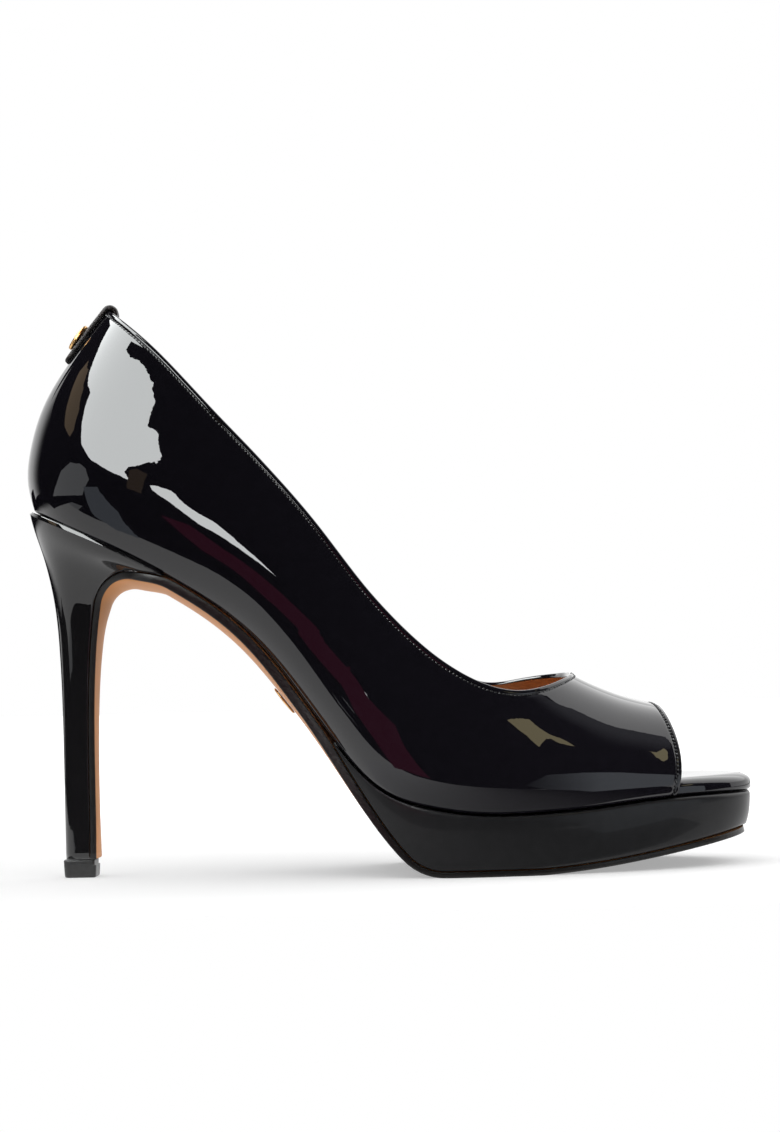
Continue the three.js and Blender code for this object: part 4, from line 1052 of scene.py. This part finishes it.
def make_stitch_tree():
    """Lays one stitch every pitch along a path of edges whose points carry the surface's normal."""
    tree = bpy.data.node_groups.new("stitch_row", "GeometryNodeTree")
    sockets = {}
    for name, kind, value in (
        ("Geometry", "NodeSocketGeometry", None), ("Pitch", "NodeSocketFloat", STITCH_PITCH * MM),
        ("Length", "NodeSocketFloat", STITCH_LENGTH * MM), ("Thick", "NodeSocketFloat", STITCH_THICK * MM),
        ("Slant", "NodeSocketFloat", STITCH_SLANT), ("Seed", "NodeSocketInt", 5),
        ("Thread", "NodeSocketMaterial", None),
    ):
        socket = tree.interface.new_socket(name, in_out="INPUT", socket_type=kind)
        sockets[name] = socket.identifier
        if value is not None:
            socket.default_value = value
    tree.interface.new_socket("Geometry", in_out="OUTPUT", socket_type="NodeSocketGeometry")

    def node(kind, values=None, settings=None, **links):
        named = {name.replace("_", " "): output for name, output in links.items()}
        return add_node(tree, kind, values, named, **(settings or {}))

    given = node("NodeGroupInput").outputs
    path = node("GeometryNodeMeshToCurve", Mesh=given["Geometry"])
    even = node("GeometryNodeResampleCurve", None, {"mode": "LENGTH"}, Curve=path.outputs[0], Length=given["Pitch"])
    ball = node("GeometryNodeMeshUVSphere", {"Segments": 10, "Rings": 8, "Radius": 0.5})
    size = node("ShaderNodeCombineXYZ", X=given["Length"], Y=given["Thick"], Z=given["Thick"])
    shape = node("GeometryNodeTransform", Geometry=ball.outputs["Mesh"], Scale=size.outputs[0])

    tangent = node("GeometryNodeInputTangent").outputs[0]
    lay = node("FunctionNodeAlignRotationToVector", None, {"axis": "X"}, Vector=tangent)
    face = node("GeometryNodeInputNamedAttribute", {"Name": "face"}, {"data_type": "FLOAT_VECTOR"})
    stand = node("FunctionNodeAlignRotationToVector", None, {"axis": "Z", "pivot_axis": "X"},
                 Rotation=lay.outputs["Rotation"], Vector=face.outputs["Attribute"])

    # Each stitch is turned by the slant, and by a small random share more.
    wander = node("FunctionNodeRandomValue", {2: -0.06, 3: 0.06}, Seed=given["Seed"])
    total = add_node(tree, "ShaderNodeMath", links={0: given["Slant"], 1: wander.outputs[1]}, operation="ADD")
    spin = node("ShaderNodeCombineXYZ", Z=total.outputs[0])
    turn = add_node(tree, "FunctionNodeEulerToRotation", links={0: spin.outputs[0]})
    turned = node("FunctionNodeRotateRotation", None, {"rotation_space": "LOCAL"},
                  Rotation=stand.outputs["Rotation"], Rotate_By=turn.outputs[0])

    laid = node("GeometryNodeInstanceOnPoints", Points=even.outputs["Curve"], Instance=shape.outputs["Geometry"],
                Rotation=turned.outputs["Rotation"])
    real = node("GeometryNodeRealizeInstances", Geometry=laid.outputs["Instances"])
    smoothed = node("GeometryNodeSetShadeSmooth", Geometry=real.outputs["Geometry"])
    painted = node("GeometryNodeSetMaterial", Geometry=smoothed.outputs["Geometry"], Material=given["Thread"])
    node("NodeGroupOutput", Geometry=painted.outputs["Geometry"])
    return tree, sockets


stitch_tree, stitch_sockets = make_stitch_tree()


def sew(name, rows, values):
    """Stitches along rows of (points in the last's millimetres, normals), as one plain mesh."""
    points = np.concatenate([(row - LAST_ORIGIN) * MM for row, _ in rows])
    edges, start = [], 0
    for row, _ in rows:
        edges += [(start + i, start + i + 1) for i in range(len(row) - 1)]
        start += len(row)
    guide_mesh = bpy.data.meshes.new(name + "_guide")
    guide_mesh.from_pydata([tuple(p) for p in points], edges, [])
    face = guide_mesh.attributes.new("face", "FLOAT_VECTOR", "POINT")
    face.data.foreach_set("vector", np.concatenate([normals for _, normals in rows]).astype(np.float32).ravel())
    guide = add_object(name + "_guide", guide_mesh)
    modifier = guide.modifiers.new("stitches", "NODES")
    modifier.node_group = stitch_tree
    for key, value in {**values, "Thread": thread}.items():
        modifier[stitch_sockets[key]] = value
    bpy.context.view_layer.update()
    made = bpy.data.meshes.new_from_object(guide.evaluated_get(bpy.context.evaluated_depsgraph_get()))
    made.name = name
    bpy.data.objects.remove(guide)
    row = add_object(name, made)
    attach(row, "root")


def beside_edge(line, away, sink):
    """A row on the upper's outer face, a distance in from an edge line, pressed in by sink."""
    fine = [line[0]]
    for a, b in zip(line[:-1], line[1:]):
        steps = max(1, int(np.linalg.norm(b - a) / 0.4))
        fine += [lerp(a, b, (k + 1) / steps) for k in range(steps)]
    line = np.array(fine)
    tangent = unit(np.gradient(line, axis=0))
    points, normals = [], []
    for p, t in zip(line, tangent):
        _, normal, _, _ = skin_search.find_nearest(Vector(p))
        inward = unit(np.cross(np.array(normal), t))
        best = None
        for sign in (-1, 1):
            spot, face, _, gap = skin_search.find_nearest(Vector(p + inward * away * sign))
            if best is None or gap < best[2]:
                best = (np.array(spot), np.array(face), gap)
        points.append(best[0] - best[1] * sink)
        normals.append(best[1])
    return np.array(points), np.array(normals)


COLLAR_ROW = 1.25
PEEP_ROW = 1.05
sew("collar_stitches", [beside_edge(collar_line, COLLAR_ROW, 0.02)], {})
sew("toe_stitches", [beside_edge(peep_line[3:-3], PEEP_ROW, 0.02)], {})


def strip_row(side):
    depth = np.linspace(STRIP_OUTSIDE - 1.4, 0.6, 60)
    inset = STRIP_WIDTH / 2 - 1.15
    lift = SEAM_GAP + STRIP_THICK - 0.12
    points = over_counter(side * inset, depth, lift)
    return points, unit(over_counter(side * inset, depth, lift + 1) - points)


sew("back_stitches", [strip_row(-1), strip_row(1)], {"Length": 1.0 * MM, "Thick": 0.36 * MM})


# Floor, light and camera
# A small white table in a dark studio, in front of a white wall. A tall soft box stands to the left of
# the camera, and dim cards and walls further round give the patent leather its smaller reflections.

TABLE_FRONT = -140
TABLE_BACK = 1300
TABLE_LEFT = -400
TABLE_RIGHT = 1000
STUDIO_RADIUS = 1800
STUDIO_CENTRE = 90
SOFTBOX_AWAY = 250
FLAG_AWAY = 80
SCREEN_AWAY = 450
CEILING_UP = 700
HEEL_CENTRE_X = -80

# The table's own glow grows outward from the shoe, so that a soft shadow shows only around it.
TABLE_GLOW_NEAR = 0.17
TABLE_GLOW_FAR = 0.42

table_paper, table_tree, table_shader = new_material("table_paper")
tune(table_shader, {"Base Color": (0.66, 0.66, 0.66, 1), "Roughness": 1.0, "Specular IOR Level": 0.0,
                    "Emission Color": (1, 1, 1, 1)})
table_place = add_node(table_tree, "ShaderNodeTexCoord").outputs["Object"]
table_away = add_node(table_tree, "ShaderNodeVectorMath", links={0: table_place}, operation="LENGTH")
table_glow = add_node(table_tree, "ShaderNodeMapRange", {
    "From Min": TABLE_GLOW_NEAR, "From Max": TABLE_GLOW_FAR, "To Min": 0.36, "To Max": 1.1,
}, {"Value": table_away.outputs["Value"]})
table_tree.links.new(table_glow.outputs["Result"], table_shader.inputs["Emission Strength"])
TABLE = [(TABLE_LEFT, TABLE_FRONT), (TABLE_RIGHT, TABLE_FRONT), (TABLE_RIGHT, TABLE_BACK), (TABLE_LEFT, TABLE_BACK)]
table_mesh = bpy.data.meshes.new("table")
table_mesh.from_pydata([(x * MM, y * MM, 0) for x, y in TABLE], [], [(0, 1, 2, 3)])
table_mesh.materials.append(table_paper)
table = add_object("table", table_mesh)
table.visible_glossy = False

scene.view_settings.view_transform = "Standard"
world = bpy.data.worlds.new("studio")
scene.world = world
world.use_nodes = True
world_tree = world.node_tree
seen = add_node(world_tree, "ShaderNodeLightPath").outputs["Is Camera Ray"]
shade = add_node(world_tree, "ShaderNodeMix", links={0: seen}, data_type="RGBA")
tune(shade, {6: (0.004, 0.004, 0.006, 1), 7: (1, 1, 1, 1)})
world_tree.links.new(shade.outputs[2], world_tree.nodes["Background"].inputs["Color"])


def round_the_shoe(azimuth, elevation):
    """A point of the studio's sphere. Azimuth 0 is on the camera's side, and negative beyond the heel."""
    azimuth, level = math.radians(azimuth), math.radians(elevation)
    flat = STUDIO_RADIUS * math.cos(level)
    return flat * math.sin(azimuth), -flat * math.cos(azimuth), STUDIO_CENTRE + STUDIO_RADIUS * math.sin(level)


def in_front(away):
    return lambda x, z: (x, -away, z)


def at_height(z):
    return lambda x, y: (x, y, z)


before_the_heel = in_front(SOFTBOX_AWAY)
before_the_shoe = in_front(FLAG_AWAY)
on_the_table = at_height(0.2)
above_the_table = at_height(0.4)
over_the_table = at_height(CEILING_UP)


def round_the_heel(azimuth, z):
    azimuth = math.radians(azimuth)
    return HEEL_CENTRE_X + SCREEN_AWAY * math.sin(azimuth), -SCREEN_AWAY * math.cos(azimuth), z


def studio_card(name, outline, colour, strength, place=round_the_shoe, fade=None, mirrored=True):
    """A glowing card with the outline given, laid out by place.

    fade is a pair of points on it: the glow grows from nothing at the first to all of it at the second.
    A card that isn't mirrored lights the matt surfaces and shows in no glossy one. The others do the reverse.
    """
    shape = bmesh.new()
    corners = [shape.verts.new((*corner, 0)) for corner in outline]
    for triangle in tessellate_polygon([[corner.co for corner in corners]]):
        shape.faces.new([corners[i] for i in triangle])
    bmesh.ops.subdivide_edges(shape, edges=shape.edges, cuts=7, use_grid_fill=True)
    corners = np.array([vert.co[:2] for vert in shape.verts])
    share = np.ones(len(corners))
    if fade:
        start, run = np.array(fade[0], float), np.subtract(*fade[::-1])
        share = smooth((corners - start) @ run / (run @ run), 0, 1)
    for vert in shape.verts:
        vert.co = Vector(place(vert.co.x, vert.co.y)) * MM
    mesh = bpy.data.meshes.new(name)
    shape.to_mesh(mesh)
    shape.free()
    mesh.attributes.new("share", "FLOAT", "POINT").data.foreach_set("value", share.astype(np.float32))
    glow, glow_tree, glow_shader = new_material(name + "_glow")
    tune(glow_shader, {"Base Color": (0, 0, 0, 1), "Specular IOR Level": 0.0, "Emission Color": (*colour, 1)})
    glow_share = add_node(glow_tree, "ShaderNodeAttribute", attribute_name="share").outputs["Fac"]
    glow_strength = add_node(glow_tree, "ShaderNodeMath", {1: strength}, {0: glow_share}, operation="MULTIPLY")
    glow_tree.links.new(glow_strength.outputs[0], glow_shader.inputs["Emission Strength"])
    mesh.materials.append(glow)
    card = add_object(name, mesh)
    card.visible_camera = card.visible_shadow = False
    card.visible_diffuse = not mirrored
    card.visible_glossy = mirrored


SOFTBOX_WHITE = (0.97, 1.0, 1.0)
SOFTBOX_GLOW = 13.0
WHITE = (1.0, 1.0, 1.0)
OLIVE = (1.0, 0.86, 0.5)
COOL = (0.95, 0.97, 1.0)
studio_card("soft_box", [
    (-104, 132), (-103, 148), (-95, 160), (-66, 180), (-57, 189), (-59, 197), (-56, 210), (-65, 214), (-63, 221),
    (-57, 236), (-59, 252), (-75, 269), (-111, 296), (-145, 326), (-240, 398), (-345, 495), (-330, 518), (-250, 474),
    (-150, 440), (-120, 460), (-250, 800), (-700, 1400), (-1100, 1700), (-1835, 1750), (-669, 658), (-584, 525),
    (-461, 379), (-366, 279), (-237, 195), (-128, 145),
], SOFTBOX_WHITE, SOFTBOX_GLOW, before_the_heel)
studio_card("soft_box_top", [
    (-125, 40.5), (-95, 40.5), (-84, 39.3), (-72, 38.5), (-66, 37.5), (-60, 46), (-56, 54), (-60, 62), (-70, 66),
    (-140, 66), (-151, 60), (-151, 54), (-140, 45),
], SOFTBOX_WHITE, SOFTBOX_GLOW)
studio_card("ceiling", [(-800, -700), (800, -700), (800, 700), (-800, 700)], WHITE, 1.75, over_the_table,
            mirrored=False)
studio_card("fill", [(40, 0), (130, 0), (130, 40), (40, 40)], WHITE, 0.9, mirrored=False)
studio_card("light_table", TABLE, WHITE, 1.3, on_the_table)
studio_card("light_table_end", [
    (TABLE_LEFT, 40), (TABLE_LEFT, TABLE_BACK), (-540, TABLE_BACK), (-540, 140),
], WHITE, 1.3, on_the_table, fade=((-540, 0), (TABLE_LEFT, 0)))
studio_card("strip_light", [
    (-72, 120), (-69, 121), (-64, 121), (-62, 115), (-58, 112), (-52, 110), (-43, 101), (-30, 92), (-42, 95.5),
    (-50, 99), (-55, 102), (-61, 104), (-64, 108), (-68, 113), (-72, 117),
], SOFTBOX_WHITE, SOFTBOX_GLOW, before_the_shoe)
studio_card("back_wall", [(88, -2), (88, 20), (224, 20), (224, -2)], WHITE, 1.3)
studio_card("back_wall_end", [(224, -6), (224, 27), (246, 22), (246, -6)], WHITE, 1.3, fade=((246, 0), (224, 0)))
studio_card("high_wall", [
    (88, 20), (86, 46), (84, 48.5), (87, 51), (90, 52.2), (91, 54.2), (93, 57), (97, 62), (165, 62), (175, 42),
    (190, 28), (224, 20),
], WHITE, 2.1)
studio_card("vamp_card", [
    (58, 43), (66, 42), (80, 45), (84, 48.5), (87, 51), (90, 52.2), (91, 54.2), (86, 57), (72, 53),
], (0.9, 0.92, 1.0), 0.34, fade=((62, 44), (82, 54)))
studio_card("heel_screen", [
    (-90, 32), (-80, 115), (-72, 198), (-60, 236), (-46, 229), (-37, 199), (-31, 135), (-37, 82), (-41, 32),
], COOL, 1.2, round_the_heel)
studio_card("heel_apron", [(-400, -140), (-270, -140), (-280, -205), (-400, -180)], COOL, 0.9, on_the_table)
studio_card("toe_apron", [
    (-90, -36), (125, -36), (150, -85), (120, -112), (95, -125), (72, -141), (-90, -141),
], (0.98, 0.98, 1.0), 1.3, above_the_table, fade=((110, -80), (-90, -80)))
studio_card("counter_card", [
    (-132, 111), (-103, 110), (-98, 101), (-97, 86), (-108, 49), (-118, 46), (-118, 56), (-124, 66),
], (0.8, 0.88, 1.0), 0.8, before_the_shoe)
studio_card("red_card", [
    (-76, 100), (-66, 100), (-57, 90), (-44, 85), (-32, 81), (-25, 81), (-29, 77), (-28, 69), (-13, 59), (-13, 46),
    (-9, 32), (-3, 19), (-22, 20), (-38, 16), (-50, 34), (-63, 48), (-52, 61), (-47, 65), (-58, 64), (-65, 72), (-72, 78),
    (-74, 89),
], (1.0, 0.1, 0.32), 0.32, before_the_shoe)
studio_card("brown_card", [
    (-109, 36), (-106, 38), (-94, 39.5), (-82, 37.5), (-72, 33), (-69, 27.5), (-72, 25), (-85, 27), (-99, 33.5),
], (1.0, 0.74, 0.48), 1.05)
studio_card("small_brown_card", [
    (-79, 127), (-75, 129), (-71, 127), (-74, 121), (-78, 112), (-84, 113),
], (1.0, 0.7, 0.45), 0.35, before_the_shoe)
studio_card("olive_card", [
    (62, 83), (89, 103), (93, 99), (99, 103), (102, 99), (91, 91), (89, 92), (85, 88), (73, 72), (71, 79),
], OLIVE, 2.4, before_the_shoe)
studio_card("small_olive_card", [
    (199, 177), (206, 176), (261, 246), (245, 209), (194, 132), (180, 117), (183, 137),
], OLIVE, 2.4, before_the_shoe)
studio_card("right_card", [
    (52, 21), (64, 39), (85, 49), (118, 59), (157, 57), (200, 55), (200, -10), (90, 1), (75, 10), (62, 14),
], (0.85, 0.92, 1.0), 1.1, before_the_shoe, fade=((40, 20), (105, 20)))

CAMERA_AWAY = 1150
CAMERA_X = 0.67
CAMERA_UP = 89.3
CAMERA_TURN = math.radians(0.3)
CAMERA_ROLL = math.radians(1.4)
CAMERA_LENS = 3910 / 1132 * 36
camera_data = bpy.data.cameras.new("camera")
camera_data.lens = CAMERA_LENS
camera_data.sensor_width = 36
camera_data.sensor_fit = "AUTO"
camera = add_object("camera", camera_data)
camera.location = Vector((CAMERA_X + CAMERA_AWAY * math.sin(CAMERA_TURN), -CAMERA_AWAY * math.cos(CAMERA_TURN),
                          CAMERA_UP)) * MM
camera.rotation_euler = (Matrix.Rotation(CAMERA_TURN, 4, "Z") @ Matrix.Rotation(math.pi / 2, 4, "X")
                         @ Matrix.Rotation(-CAMERA_ROLL, 4, "Z")).to_euler()
scene.camera = camera

bpy.context.view_layer.update()
